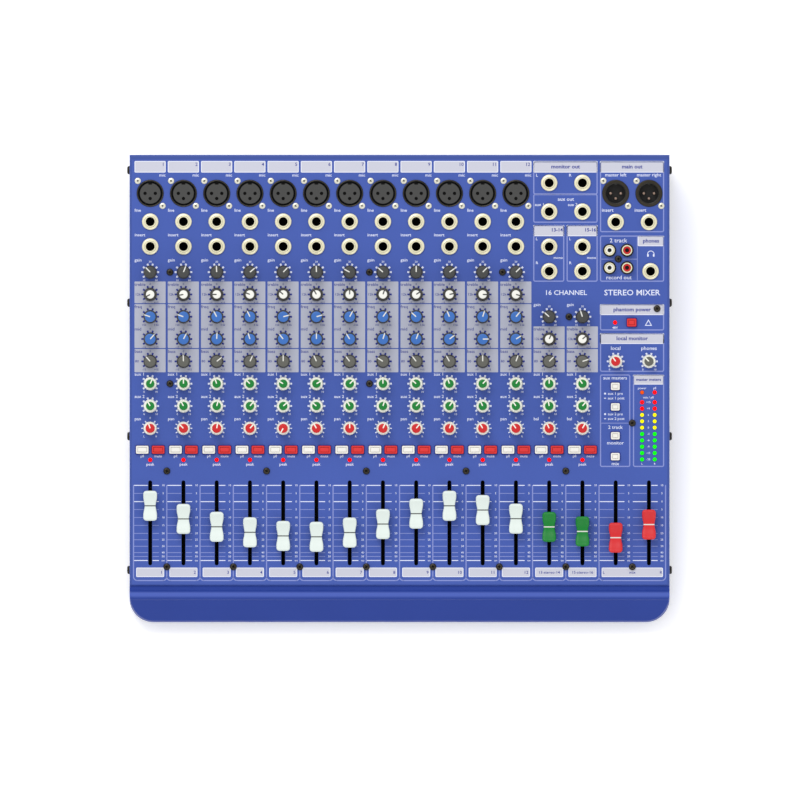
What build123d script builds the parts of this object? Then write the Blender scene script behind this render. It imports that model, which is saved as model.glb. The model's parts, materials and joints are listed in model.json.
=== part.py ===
from build123d import *

import os
from math import cos, radians, sin

# Sixteen-channel desk mixing console, each piece as its own solid. Millimetres, +Z up, +X to the user's
# right, -Y towards the user. The origin lies under the middle of the console, on the surface it stands on.

# --- driving dimensions -------------------------------------------------------------------------------

BODY_WIDTH = 432.0
PANEL_LENGTH = 344.5  # along the slope, from the rear edge to the front edge
PANEL_TILT = 7.0  # degrees, falling towards the user
REAR_Y = 182.5
REAR_TOP_Z = 84.0
FOOT_HEIGHT = 8.0
SHEET = 1.2
FOLD_RADIUS = 2.0
REAR_LIP = 32.0
FRONT_LIP = 9.0
FIT = 0.05  # radial gap of a running or push fit
HOLE_GAP = 0.1  # radial gap of a panel hole round a fixed part

COLUMNS = 16
MONO_COLUMNS = 12
CHANNEL_COLUMNS = 14  # twelve mono and two stereo channels; the last two columns are the mix masters
COLUMN_PITCH = 26.6

XLR_ROW = 31.1
LINE_ROW = 53.7
INSERT_ROW = 73.6
FIRST_KNOB_ROW = 94.1
KNOB_PITCH = 17.85
BUTTON_ROW = 236.2
BUTTON_OFFSET = 6.35
PEAK_ROW = 244.3
FADER_ROW = 294.7  # middle of the fader travel
FADER_TRAVEL = 60.0

BOARD_THICKNESS = 1.6
CHANNEL_BOARD_DEPTH = 12.0  # top of the board under the panel face
INPUT_BOARD_DEPTH = 20.0
BOARD_SIDE_GAP = 4.0

SLOPE = radians(PANEL_TILT)
PANEL = Plane(origin=(0, REAR_Y, REAR_TOP_Z), x_dir=(1, 0, 0), z_dir=(0, -sin(SLOPE), cos(SLOPE)))


def on_panel(x, s, n=0.0, turn=0.0):
    """Place x across the panel, s down its slope from the rear edge and n above its face, turned clockwise."""
    return PANEL.location * Location((x, -s, n), (0, 0, -turn))


def side_point(s, n):
    """The same place seen from the side, as (y, z)."""
    place = on_panel(0, s, n).position
    return (place.Y, place.Z)


def column_x(column):
    return (column - (COLUMNS - 1) / 2) * COLUMN_PITCH


def knob_row(row):
    return FIRST_KNOB_ROW + row * KNOB_PITCH


def boundary_x(boundary):
    """Line between two columns; boundary 0 is the left edge of the first column."""
    return column_x(0) + (boundary - 0.5) * COLUMN_PITCH


# --- where things sit on the panel: (x, s) ------------------------------------------------------------

MIC_PLACES = [(column_x(c), XLR_ROW) for c in range(MONO_COLUMNS)]
OUTPUT_PLACES = [(column_x(c), XLR_ROW) for c in (14, 15)]
XLR_SCREW_OFFSET = (9.9, 10.0)
XLR_SCREW_PLACES = [
    (x + side * XLR_SCREW_OFFSET[0], s + side * XLR_SCREW_OFFSET[1])
    for x, s in MIC_PLACES + OUTPUT_PLACES
    for side in (-1, 1)
]

MONITOR_JACK_ROW = 22.7
AUX_JACK_ROW = 45.7
STEREO_JACK_ROWS = (73.8, 93.4)
MAIN_INSERT_ROW = 54.0
PHONES_JACK_PLACE = (column_x(15) + 1.3, STEREO_JACK_ROWS[1])
JACK_PLACES = (
    [(column_x(c), row) for row in (LINE_ROW, INSERT_ROW) for c in range(MONO_COLUMNS)]
    + [(column_x(c), row) for row in (MONITOR_JACK_ROW, AUX_JACK_ROW, *STEREO_JACK_ROWS) for c in (12, 13)]
    + [(column_x(c), MAIN_INSERT_ROW) for c in (14, 15)]
    + [PHONES_JACK_PLACE]
)

PHONO_PLACES = [(x, s) for s in (76.6, 90.6) for x in (168.0, 182.0)]

LED_PITCH = 5.08
METER_X = (194.0, 204.1)
METER_TOP = 198.2
METER_STEPS = 10
LAMP_ROW = 190.3  # the two lamps above the meter
PHANTOM_LAMP_PLACE = (172.4, 134.4)
LED_PLACES = (
    [(column_x(c), PEAK_ROW) for c in range(CHANNEL_COLUMNS)]
    + [(x, METER_TOP + step * LED_PITCH) for x in METER_X for step in range(METER_STEPS)]
    + [(x, LAMP_ROW) for x in METER_X]
    + [PHANTOM_LAMP_PLACE]
)

# Knobs: row number on the channel strip, and the clockwise angle of each pointer from straight up.
GAIN, TREBLE, MID_FREQ, MID, BASS, AUX_1, AUX_2, PAN = range(8)
MONO_ANGLES = {
    GAIN: (-44, 22, -3, 50, 44, -2, -62, -48, 0, 55, 45, 45),
    TREBLE: (-118, -100, -90, -68, -48, -30, 0, 20, 55, 78, 92, 105),
    MID_FREQ: (-72, -70, -28, -25, 75, 73, 28, 35, -48, -22, 18, 40),
    MID: (42, 28, 3, -17, -38, 0, -32, 17, 20, 53, 90, 58),
    BASS: (-42, -2, 52, 25, 0, -24, -38, -57, -37, -30, 0, 20),
    AUX_1: (25, 0, -20, -45, -60, 60, 45, 0, -50, -20, 45, 35),
    AUX_2: (-30, -28, 15, 40, 50, -50, -30, 18, 40, 35, -25, -35),
    PAN: (-20, -45, 10, 42, -150, -30, 0, 25, 40, 20, -30, -35),
}
# The stereo strips have no middle band, so their gain and treble sit two rows lower.
STEREO_ANGLES = {
    GAIN: (MID_FREQ, (-48, -18)),
    TREBLE: (MID, (25, 50)),
    BASS: (BASS, (45, 72)),
    AUX_1: (AUX_1, (0, -35)),
    AUX_2: (AUX_2, (-10, 40)),
    PAN: (PAN, (-25, 30)),
}
MASTER_ROW = knob_row(BASS)
LOCAL_ANGLE = -35
PHONES_ANGLE = -45


def knob_places(kind):
    """(x, s, angle) of every knob of one kind, channel one first."""
    places = [(column_x(c), knob_row(kind), turn) for c, turn in enumerate(MONO_ANGLES[kind])]
    if kind in STEREO_ANGLES:
        row, turns = STEREO_ANGLES[kind]
        places += [(column_x(MONO_COLUMNS + i), knob_row(row), turn) for i, turn in enumerate(turns)]
    return places


LOCAL_PLACE = (column_x(14), MASTER_ROW, LOCAL_ANGLE)
PHONES_PLACE = (column_x(15), MASTER_ROW, PHONES_ANGLE)
TURNING_PLACES = [knob_places(kind)[0] for kind in MONO_ANGLES] + [LOCAL_PLACE, PHONES_PLACE]
FIXED_PLACES = [place for kind in MONO_ANGLES for place in knob_places(kind)[1:]]
POT_PLACES = [(x, s) for x, s, turn in TURNING_PLACES + FIXED_PLACES]

CHANNEL_BUTTON = (10.1, 6.5)
MASTER_BUTTON = (7.1, 6.0)
PHANTOM_BUTTON = (7.6, 6.5)
PFL_PLACES = [(column_x(c) - BUTTON_OFFSET, BUTTON_ROW) for c in range(CHANNEL_COLUMNS)]
MUTE_PLACES = [(column_x(c) + BUTTON_OFFSET, BUTTON_ROW) for c in range(CHANNEL_COLUMNS)]
MASTER_BUTTON_X = 172.6
MASTER_BUTTON_ROWS = (185.5, 201.9, 225.0, 241.7)
MASTER_BUTTON_PLACES = [(MASTER_BUTTON_X, s) for s in MASTER_BUTTON_ROWS]
PHANTOM_PLACE = (185.7, 134.4)
SWITCH_PLACES = PFL_PLACES + MUTE_PLACES + MASTER_BUTTON_PLACES + [PHANTOM_PLACE]

# How far each fader stands above the bottom of its travel.
FADER_HEIGHTS = (
    43.8, 33.3, 27.0, 22.6, 19.7, 19.0, 22.4, 29.2,
    37.5, 43.8, 40.4, 33.5, 26.9, 23.3, 18.3, 28.8,
)

SCREW_OFFSET = 10.8  # a panel screw beside a knob
SHORT_SCREW_PLACES = (
    [(column_x(c) - SCREW_OFFSET, knob_row(GAIN)) for c in (1, 7, 11)]
    + [(column_x(13) - SCREW_OFFSET, knob_row(MID_FREQ))]
    + [(column_x(c) - SCREW_OFFSET, knob_row(AUX_1)) for c in (1, 7)]
    + [(boundary_x(b), 253.2) for b in (1, 4, 7, 10, 13)]
    + [(boundary_x(b), 329.8) for b in (1, 3, 5, 7, 9, 11, 13, 15)]
    + [(boundary_x(15), 214.8), (206.0, 123.3)]
)
DEEP_SCREW_PLACES = [(175.0, 83.6)]
SIDE_SCREW_PLACES = ((177.0, 26.0), (70.9, 20.0), (-36.7, 20.0), (-144.5, 20.0))  # (y, z) on each side
REAR_SCREW_X = (-190.0, -65.0, 65.0, 190.0)
REAR_SCREW_Z = 58.0

# --- the case -----------------------------------------------------------------------------------------

FRONT_Y, FRONT_TOP_Z = side_point(PANEL_LENGTH, 0)
FRONT_LIP_Z = FRONT_TOP_Z - FRONT_LIP
REAR_LIP_Z = REAR_TOP_Z - REAR_LIP
BEYOND = 1.0  # how far a cutting profile runs past the edge it opens

XLR_RADIUS = 10.8
JACK_BUSH_RADIUS = 4.6
POT_BUSH_RADIUS = 3.5
LED_RADIUS = 1.6
PHONO_RADIUS = 5.2
SCREW_HOLE_RADIUS = 1.6
BUTTON_GAP = 0.3
FADER_SLOT = (3.1, 68.0)

with BuildPart() as top_cover:
    with BuildSketch(Plane.YZ):
        Polygon(
            (REAR_Y, REAR_TOP_Z),
            (REAR_Y, FOOT_HEIGHT),
            (FRONT_Y, FOOT_HEIGHT),
            (FRONT_Y, FRONT_TOP_Z),
            align=None,
        )
    extrude(amount=BODY_WIDTH / 2, both=True)
    panel_face = top_cover.faces().sort_by(Axis((0, 0, 0), PANEL.z_dir))[-1]
    fillet(panel_face.edges(), FOLD_RADIUS)
    with BuildSketch(Plane.YZ):
        Polygon(
            (REAR_Y - SHEET, side_point(SHEET, -SHEET)[1]),
            (REAR_Y - SHEET, REAR_LIP_Z),
            (REAR_Y + BEYOND, REAR_LIP_Z),
            (REAR_Y + BEYOND, 0),
            (FRONT_Y - BEYOND, 0),
            (FRONT_Y - BEYOND, FRONT_LIP_Z),
            (FRONT_Y + SHEET, FRONT_LIP_Z),
            (FRONT_Y + SHEET, side_point(PANEL_LENGTH - SHEET, -SHEET)[1]),
            align=None,
        )
    extrude(amount=BODY_WIDTH / 2 - SHEET, both=True, mode=Mode.SUBTRACT)
    # openings in the panel
    with BuildSketch(PANEL):
        with Locations(*[(x, -s) for x, s in MIC_PLACES + OUTPUT_PLACES]):
            Circle(XLR_RADIUS + HOLE_GAP)
        with Locations(*[(x, -s) for x, s in JACK_PLACES]):
            Circle(JACK_BUSH_RADIUS + HOLE_GAP)
        with Locations(*[(x, -s) for x, s in PHONO_PLACES]):
            Circle(PHONO_RADIUS + HOLE_GAP)
        with Locations(*[(x, -s) for x, s in POT_PLACES]):
            Circle(POT_BUSH_RADIUS + HOLE_GAP)
        with Locations(*[(x, -s) for x, s in LED_PLACES]):
            Circle(LED_RADIUS + HOLE_GAP)
        with Locations(*[(x, -s) for x, s in SHORT_SCREW_PLACES + DEEP_SCREW_PLACES + XLR_SCREW_PLACES]):
            Circle(SCREW_HOLE_RADIUS)
        with Locations(*[(x, -s) for x, s in PFL_PLACES + MUTE_PLACES]):
            Rectangle(*[side + 2 * BUTTON_GAP for side in CHANNEL_BUTTON])
        with Locations(*[(x, -s) for x, s in MASTER_BUTTON_PLACES]):
            Rectangle(*[side + 2 * BUTTON_GAP for side in MASTER_BUTTON])
        with Locations((PHANTOM_PLACE[0], -PHANTOM_PLACE[1])):
            Rectangle(*[side + 2 * BUTTON_GAP for side in PHANTOM_BUTTON])
        with Locations(*[(column_x(c), -FADER_ROW) for c in range(COLUMNS)]):
            SlotOverall(FADER_SLOT[1], FADER_SLOT[0], rotation=90)
    extrude(amount=-2 * SHEET, mode=Mode.SUBTRACT)
    # holes for the side and rear screws
    with BuildSketch(Plane.YZ):
        with Locations(*SIDE_SCREW_PLACES):
            Circle(SCREW_HOLE_RADIUS)
    extrude(amount=BODY_WIDTH, both=True, mode=Mode.SUBTRACT)
    with BuildSketch(Plane.XZ.offset(-REAR_Y)):
        with Locations(*[(x, REAR_SCREW_Z) for x in REAR_SCREW_X]):
            Circle(SCREW_HOLE_RADIUS)
    extrude(amount=2 * SHEET, both=True, mode=Mode.SUBTRACT)

# The base tray carries the feet, the rear wall and low flanges inside the cover's sides.
TRAY_WIDTH = BODY_WIDTH - 2 * SHEET
TRAY_REAR_Y = REAR_Y - SHEET
TRAY_FRONT_Y = FRONT_Y
TRAY_FLANGE = 24.0
REAR_WALL_HEIGHT = REAR_TOP_Z - FOOT_HEIGHT - 4.0  # stops 4 mm under the top of the cover
FEET_PLACES = [(x, y) for x in (-185, 185) for y in (-138, 160)]
INLET_X = 150.0
INLET_Z = 36.0
INLET_BODY = (27.2, 19.8)
ROCKER_X = INLET_X - 46.0
ROCKER_FRAME = (15.4, 22.0)
VENT_SLOT = (34.0, 3.0)
VENT_PITCH = (42.0, 8.0)
VENT_X = -90.0
FLOOR_VENT_Y = 60.0

with BuildPart() as base_tray:
    tray_middle_y = (TRAY_REAR_Y + TRAY_FRONT_Y) / 2
    tray_depth = TRAY_REAR_Y - TRAY_FRONT_Y
    with BuildSketch(Plane.XY.offset(FOOT_HEIGHT)):
        with Locations((0, tray_middle_y)):
            Rectangle(TRAY_WIDTH, tray_depth)
    extrude(amount=SHEET)
    with BuildSketch(Plane.XY.offset(FOOT_HEIGHT + SHEET)):
        with Locations((0, tray_middle_y)):
            Rectangle(TRAY_WIDTH, tray_depth)
            Rectangle(TRAY_WIDTH - 2 * SHEET, tray_depth - 2 * SHEET, mode=Mode.SUBTRACT)
    extrude(amount=TRAY_FLANGE - SHEET)
    with BuildSketch(Plane.XY.offset(FOOT_HEIGHT + TRAY_FLANGE)):
        with Locations((0, TRAY_REAR_Y - SHEET / 2)):
            Rectangle(TRAY_WIDTH, SHEET)
    extrude(amount=REAR_WALL_HEIGHT - TRAY_FLANGE)
    # inlet and switch cut-outs, rear screw holes and vents in the rear wall
    with BuildSketch(Plane.XZ.offset(-REAR_Y)):
        with Locations((INLET_X, INLET_Z)):
            Rectangle(INLET_BODY[0] + 2 * HOLE_GAP, INLET_BODY[1] + 2 * HOLE_GAP)
        with Locations((ROCKER_X, INLET_Z)):
            Rectangle(ROCKER_FRAME[0] + 2 * HOLE_GAP, ROCKER_FRAME[1] + 2 * HOLE_GAP)
        with Locations(*[(x, REAR_SCREW_Z) for x in REAR_SCREW_X]):
            Circle(SCREW_HOLE_RADIUS)
        with Locations((VENT_X, INLET_Z)):
            with GridLocations(*VENT_PITCH, 3, 4):
                SlotOverall(*VENT_SLOT)
    extrude(amount=4 * SHEET, mode=Mode.SUBTRACT)
    with BuildSketch(Plane.YZ):
        with Locations(*SIDE_SCREW_PLACES):
            Circle(SCREW_HOLE_RADIUS)
    extrude(amount=BODY_WIDTH, both=True, mode=Mode.SUBTRACT)
    with BuildSketch(Plane.XY.offset(FOOT_HEIGHT)):
        with Locations(*FEET_PLACES):
            Circle(SCREW_HOLE_RADIUS)
        with Locations((VENT_X, FLOOR_VENT_Y)):
            with GridLocations(*VENT_PITCH, 3, 8):
                SlotOverall(*VENT_SLOT)
    extrude(amount=2 * SHEET, mode=Mode.SUBTRACT)

# The front nose is a hollow moulding, open towards the case. Its outline runs from a shallow groove
# behind a rounded crest down a steep face, and its front corners are rounded in plan.
NOSE_GROOVE = 2.8  # below the panel face
GROOVE_END = 348.4
NOSE_CREST = (352.0, -1.2)
NOSE_BROW = (356.5, -4.6)
NOSE_LIP = (373.0, -21.5)
NOSE_CORNER = 19.0
NOSE_WALL = 2.4
NOSE_FRONT_Y, NOSE_LIP_Z = side_point(*NOSE_LIP)


def rounded_plan(inset):
    """Footprint of the nose with rounded front corners, drawn inwards by inset."""
    half_width = BODY_WIDTH / 2 - inset
    depth = FRONT_Y - NOSE_FRONT_Y - inset
    with BuildSketch() as plan:
        with Locations((0, FRONT_Y - depth / 2)):
            Rectangle(2 * half_width, depth)
        fillet(plan.vertices().group_by(Axis.Y)[0], NOSE_CORNER - inset)
    return plan.sketch


with BuildPart() as nose_core:
    with BuildSketch(Plane.YZ):
        Polygon(
            (FRONT_Y + BEYOND, FOOT_HEIGHT + NOSE_WALL),
            (NOSE_FRONT_Y + NOSE_WALL, FOOT_HEIGHT + NOSE_WALL),
            (NOSE_FRONT_Y + NOSE_WALL, NOSE_LIP_Z - NOSE_WALL / 2),
            side_point(NOSE_BROW[0] - NOSE_WALL / 2, NOSE_BROW[1] - NOSE_WALL),
            side_point(GROOVE_END, -NOSE_GROOVE - NOSE_WALL),
            (FRONT_Y + BEYOND, side_point(PANEL_LENGTH, -NOSE_GROOVE - NOSE_WALL)[1]),
            align=None,
        )
    extrude(amount=BODY_WIDTH / 2 - NOSE_WALL, both=True)
    add(rounded_plan(NOSE_WALL))
    extrude(amount=REAR_TOP_Z, mode=Mode.INTERSECT)

with BuildPart() as front_nose:
    with BuildSketch(Plane.YZ):
        with BuildLine():
            groove_rear = (FRONT_Y, side_point(PANEL_LENGTH, -NOSE_GROOVE)[1])
            groove_front = side_point(GROOVE_END, -NOSE_GROOVE)
            brow = side_point(*NOSE_BROW)
            Polyline((FRONT_Y, FOOT_HEIGHT), groove_rear, groove_front)
            ThreePointArc(groove_front, side_point(*NOSE_CREST), brow)
            Polyline(brow, (NOSE_FRONT_Y, NOSE_LIP_Z), (NOSE_FRONT_Y, FOOT_HEIGHT), (FRONT_Y, FOOT_HEIGHT))
        make_face()
    extrude(amount=BODY_WIDTH / 2, both=True)
    add(rounded_plan(0))
    extrude(amount=REAR_TOP_Z, mode=Mode.INTERSECT)
    add(nose_core.part, mode=Mode.SUBTRACT)

# Rubber feet, hollow underneath for their screws.
FOOT_RADIUS = 10.0
FOOT_RECESS = 4.0
FOOT_EDGE = 0.8
with BuildPart() as foot:
    with BuildSketch():
        Circle(FOOT_RADIUS)
    extrude(amount=FOOT_HEIGHT)
    chamfer(foot.edges().group_by(Axis.Z)[0], FOOT_EDGE)
    with BuildSketch():
        Circle(FOOT_RECESS)
    extrude(amount=FOOT_HEIGHT / 2, mode=Mode.SUBTRACT)
    with BuildSketch():
        Circle(SCREW_HOLE_RADIUS)
    extrude(amount=FOOT_HEIGHT, mode=Mode.SUBTRACT)
with BuildPart() as rubber_feet:
    with Locations(*[(x, y, 0) for x, y in FEET_PLACES]):
        add(foot.part)

# --- fasteners ----------------------------------------------------------------------------------------

SHANK_RADIUS = 1.45
HEAD_ROUNDING = 0.8  # share of a screw head's height that its edge is rounded by


def pan_screw(head_radius, head_height, shank_length):
    """A pan-head screw whose head sits on z = 0 and whose shank points down."""
    with BuildPart() as screw:
        with BuildSketch():
            Circle(head_radius)
        extrude(amount=head_height)
        fillet(screw.edges().group_by(Axis.Z)[-1], HEAD_ROUNDING * head_height)
        with BuildSketch():
            Circle(SHANK_RADIUS)
        extrude(amount=-shank_length)
    return screw.part


panel_screw = pan_screw(2.8, 1.9, 9.0)
side_screw = pan_screw(3.4, 2.0, 7.0)
foot_screw = pan_screw(3.2, 1.8, 8.0)
board_screw = pan_screw(2.6, 1.6, 4.5)
xlr_screw = pan_screw(2.6, 1.2, 6.0)

FACING_LEFT = (0, -90, 0)
FACING_RIGHT = (0, 90, 0)
FACING_REAR = (-90, 0, 0)
FACING_DOWN = (180, 0, 0)
CHANNEL_BOARD_FACES = (-CHANNEL_BOARD_DEPTH, -CHANNEL_BOARD_DEPTH - BOARD_THICKNESS)
INPUT_BOARD_FACES = (-INPUT_BOARD_DEPTH, -INPUT_BOARD_DEPTH - BOARD_THICKNESS)

with BuildPart() as case_screws:
    with Locations(*[on_panel(x, s) for x, s in SHORT_SCREW_PLACES + DEEP_SCREW_PLACES]):
        add(panel_screw)
    with Locations(*[on_panel(x, s, CHANNEL_BOARD_FACES[1]) * Location((0, 0, 0), FACING_DOWN)
                     for x, s in SHORT_SCREW_PLACES]):
        add(board_screw)
    with Locations(*[on_panel(x, s, INPUT_BOARD_FACES[1]) * Location((0, 0, 0), FACING_DOWN)
                     for x, s in DEEP_SCREW_PLACES]):
        add(board_screw)
    for side, facing in ((-1, FACING_LEFT), (1, FACING_RIGHT)):
        with Locations(*[Location((side * BODY_WIDTH / 2, y, z), facing) for y, z in SIDE_SCREW_PLACES]):
            add(side_screw)
    with Locations(*[Location((x, REAR_Y, REAR_SCREW_Z), FACING_REAR) for x in REAR_SCREW_X]):
        add(side_screw)
    with Locations(*[Location((x, y, FOOT_HEIGHT / 2), FACING_DOWN) for x, y in FEET_PLACES]):
        add(foot_screw)

with BuildPart() as xlr_screws:
    with Locations(*[on_panel(x, s) for x, s in XLR_SCREW_PLACES]):
        add(xlr_screw)

# --- boards and what holds them -----------------------------------------------------------------------

STANDOFF_ACROSS = 5.5
with BuildPart() as standoffs:
    with BuildSketch(PANEL.offset(-SHEET)):
        with Locations(*[(x, -s) for x, s in SHORT_SCREW_PLACES]):
            RegularPolygon(STANDOFF_ACROSS / 2, 6, major_radius=False)
            Circle(SHANK_RADIUS + FIT, mode=Mode.SUBTRACT)
    extrude(amount=SHEET - CHANNEL_BOARD_DEPTH)
    with BuildSketch(PANEL.offset(-SHEET)):
        with Locations(*[(x, -s) for x, s in DEEP_SCREW_PLACES]):
            RegularPolygon(STANDOFF_ACROSS / 2, 6, major_radius=False)
            Circle(SHANK_RADIUS + FIT, mode=Mode.SUBTRACT)
    extrude(amount=SHEET - INPUT_BOARD_DEPTH)

# The input board steps towards the user under the stereo and master sockets, and the channel board
# steps back to match.
BOARD_LEFT = -BODY_WIDTH / 2 + SHEET + BOARD_SIDE_GAP
BOARD_STEP_X = boundary_x(12)
INPUT_BOARD_S = (8.0, 84.5, 104.0)
CHANNEL_BOARD_S = (86.5, 106.0, 338.0)
with BuildPart() as circuit_boards:
    with BuildSketch(PANEL.offset(-INPUT_BOARD_DEPTH)):
        Polygon(
            (BOARD_LEFT, -INPUT_BOARD_S[0]),
            (-BOARD_LEFT, -INPUT_BOARD_S[0]),
            (-BOARD_LEFT, -INPUT_BOARD_S[2]),
            (BOARD_STEP_X, -INPUT_BOARD_S[2]),
            (BOARD_STEP_X, -INPUT_BOARD_S[1]),
            (BOARD_LEFT, -INPUT_BOARD_S[1]),
            align=None,
        )
        with Locations(*[(x, -s) for x, s in DEEP_SCREW_PLACES]):
            Circle(SCREW_HOLE_RADIUS, mode=Mode.SUBTRACT)
    extrude(amount=-BOARD_THICKNESS)
    with BuildSketch(PANEL.offset(-CHANNEL_BOARD_DEPTH)):
        Polygon(
            (BOARD_LEFT, -CHANNEL_BOARD_S[0]),
            (BOARD_STEP_X, -CHANNEL_BOARD_S[0]),
            (BOARD_STEP_X, -CHANNEL_BOARD_S[1]),
            (-BOARD_LEFT, -CHANNEL_BOARD_S[1]),
            (-BOARD_LEFT, -CHANNEL_BOARD_S[2]),
            (BOARD_LEFT, -CHANNEL_BOARD_S[2]),
            align=None,
        )
        with Locations(*[(x, -s) for x, s in SHORT_SCREW_PLACES]):
            Circle(SCREW_HOLE_RADIUS, mode=Mode.SUBTRACT)
    extrude(amount=-BOARD_THICKNESS)

# --- sockets, each modelled with the panel face at z = 0 ----------------------------------------------

XLR_RING_HEIGHT = 1.0
XLR_RING_EDGE = 0.5
XLR_DEPTH = INPUT_BOARD_DEPTH
XLR_EAR = (26.0, 26.6, 2.0)
XLR_EAR_CORNER = 2.0
FEMALE_INSERT_RADIUS = 8.25
FEMALE_GROOVE_RADIUS = 9.5
FEMALE_CONTACT_DEPTH = 14.0
FEMALE_INSERT_DROP = 0.6
FEMALE_CONTACT_RADIUS = 1.4
FEMALE_KEYWAY = (2.4, 2.2)
PIN_CIRCLE = 4.1
MALE_CUP_RADIUS = 7.6
MALE_CUP_DEPTH = 13.0
PIN_RADIUS = 1.2
PIN_LENGTH = 15.0
PIN_SEAT = 4.0  # how deep each pin stands in the insert
DOME = 0.9  # share of its radius that a domed end is rounded by


def xlr_shell():
    """The round shell and the square ear plate that both kinds of XLR socket share."""
    with BuildPart() as shell:
        with BuildSketch(Plane.XY.offset(-XLR_DEPTH)):
            Circle(XLR_RADIUS)
        extrude(amount=XLR_DEPTH + XLR_RING_HEIGHT)
        chamfer(shell.edges().group_by(Axis.Z)[-1], XLR_RING_EDGE)
        with BuildSketch(Plane.XY.offset(-SHEET)):
            RectangleRounded(XLR_EAR[0], XLR_EAR[1], XLR_EAR_CORNER)
            with Locations(*[(side * XLR_SCREW_OFFSET[0], -side * XLR_SCREW_OFFSET[1]) for side in (-1, 1)]):
                Circle(SHANK_RADIUS + FIT, mode=Mode.SUBTRACT)
        extrude(amount=-XLR_EAR[2])
    return shell.part


def contact_places():
    """Three contacts: left, right and the one nearest the user."""
    return [(-PIN_CIRCLE, 0), (PIN_CIRCLE, 0), (0, -PIN_CIRCLE)]


# A microphone socket is an open shell round an insert with three contact holes and a keyway. Both stand on
# the input board, and the plug's shell goes into the groove between them.
with BuildPart() as mic_shell:
    add(xlr_shell())
    with BuildSketch(Plane.XY.offset(XLR_RING_HEIGHT)):
        Circle(FEMALE_GROOVE_RADIUS)
    extrude(amount=-XLR_RING_HEIGHT - XLR_DEPTH, mode=Mode.SUBTRACT)
with BuildPart() as mic_insert:
    with BuildSketch(Plane.XY.offset(-XLR_DEPTH)):
        Circle(FEMALE_INSERT_RADIUS)
    extrude(amount=XLR_DEPTH + XLR_RING_HEIGHT - FEMALE_INSERT_DROP)
    with BuildSketch(Plane.XY.offset(XLR_RING_HEIGHT)):
        with Locations(*contact_places()):
            Circle(FEMALE_CONTACT_RADIUS)
        with Locations((0, FEMALE_INSERT_RADIUS)):
            Rectangle(*FEMALE_KEYWAY)
    extrude(amount=-FEMALE_CONTACT_DEPTH, mode=Mode.SUBTRACT)
with BuildPart() as mic_sockets:
    with Locations(*[on_panel(x, s) for x, s in MIC_PLACES]):
        add(mic_shell.part)
        add(mic_insert.part)

# An output socket is an open shell, the insert that closes its far end, and three pins in the insert.
MALE_FLOOR = XLR_RING_HEIGHT - MALE_CUP_DEPTH
with BuildPart() as output_shell:
    add(xlr_shell())
    with BuildSketch(Plane.XY.offset(XLR_RING_HEIGHT)):
        Circle(MALE_CUP_RADIUS)
    extrude(amount=-XLR_RING_HEIGHT - XLR_DEPTH, mode=Mode.SUBTRACT)
with BuildPart() as output_insert:
    with BuildSketch(Plane.XY.offset(-XLR_DEPTH)):
        Circle(MALE_CUP_RADIUS - FIT)
    extrude(amount=XLR_DEPTH + MALE_FLOOR)
    with BuildSketch(Plane.XY.offset(MALE_FLOOR)):
        with Locations(*contact_places()):
            Circle(PIN_RADIUS + FIT)
    extrude(amount=-PIN_SEAT, mode=Mode.SUBTRACT)
with BuildPart() as output_pin:
    with BuildSketch(Plane.XY.offset(MALE_FLOOR - PIN_SEAT + FIT)):
        Circle(PIN_RADIUS)
    extrude(amount=PIN_LENGTH)
    fillet(output_pin.edges().group_by(Axis.Z)[-1], DOME * PIN_RADIUS)
with BuildPart() as output_sockets:
    with Locations(*[on_panel(x, s) for x, s in OUTPUT_PLACES]):
        add(output_shell.part)
        add(output_insert.part)
        with Locations(*contact_places()):
            add(output_pin.part)

JACK_BODY = (16.0, 17.0)
JACK_BUSH_HEIGHT = 2.4
JACK_BORE_RADIUS = 3.5
JACK_BORE_DEPTH = 17.0
NUT_RADIUS = 6.65
NUT_HEIGHT = 2.2
NUT_EDGE = 0.8
with BuildPart() as jack_body:
    with BuildSketch(Plane.XY.offset(-INPUT_BOARD_DEPTH)):
        Rectangle(*JACK_BODY)
    extrude(amount=INPUT_BOARD_DEPTH - SHEET)
    with BuildSketch(Plane.XY.offset(-SHEET)):
        Circle(JACK_BUSH_RADIUS)
    extrude(amount=SHEET + JACK_BUSH_HEIGHT)
    with BuildSketch(Plane.XY.offset(JACK_BUSH_HEIGHT)):
        Circle(JACK_BORE_RADIUS)
    extrude(amount=-JACK_BUSH_HEIGHT - JACK_BORE_DEPTH, mode=Mode.SUBTRACT)
with BuildPart() as jack_bodies:
    with Locations(*[on_panel(x, s) for x, s in JACK_PLACES]):
        add(jack_body.part)

with BuildPart() as jack_nut:
    with BuildSketch():
        Circle(NUT_RADIUS)
        Circle(JACK_BUSH_RADIUS + FIT, mode=Mode.SUBTRACT)
    extrude(amount=NUT_HEIGHT)
    chamfer(jack_nut.edges().group_by(Axis.Z)[-1].sort_by(SortBy.RADIUS)[-1], NUT_EDGE)
with BuildPart() as jack_nuts:
    with Locations(*[on_panel(x, s) for x, s in JACK_PLACES]):
        add(jack_nut.part)

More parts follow.
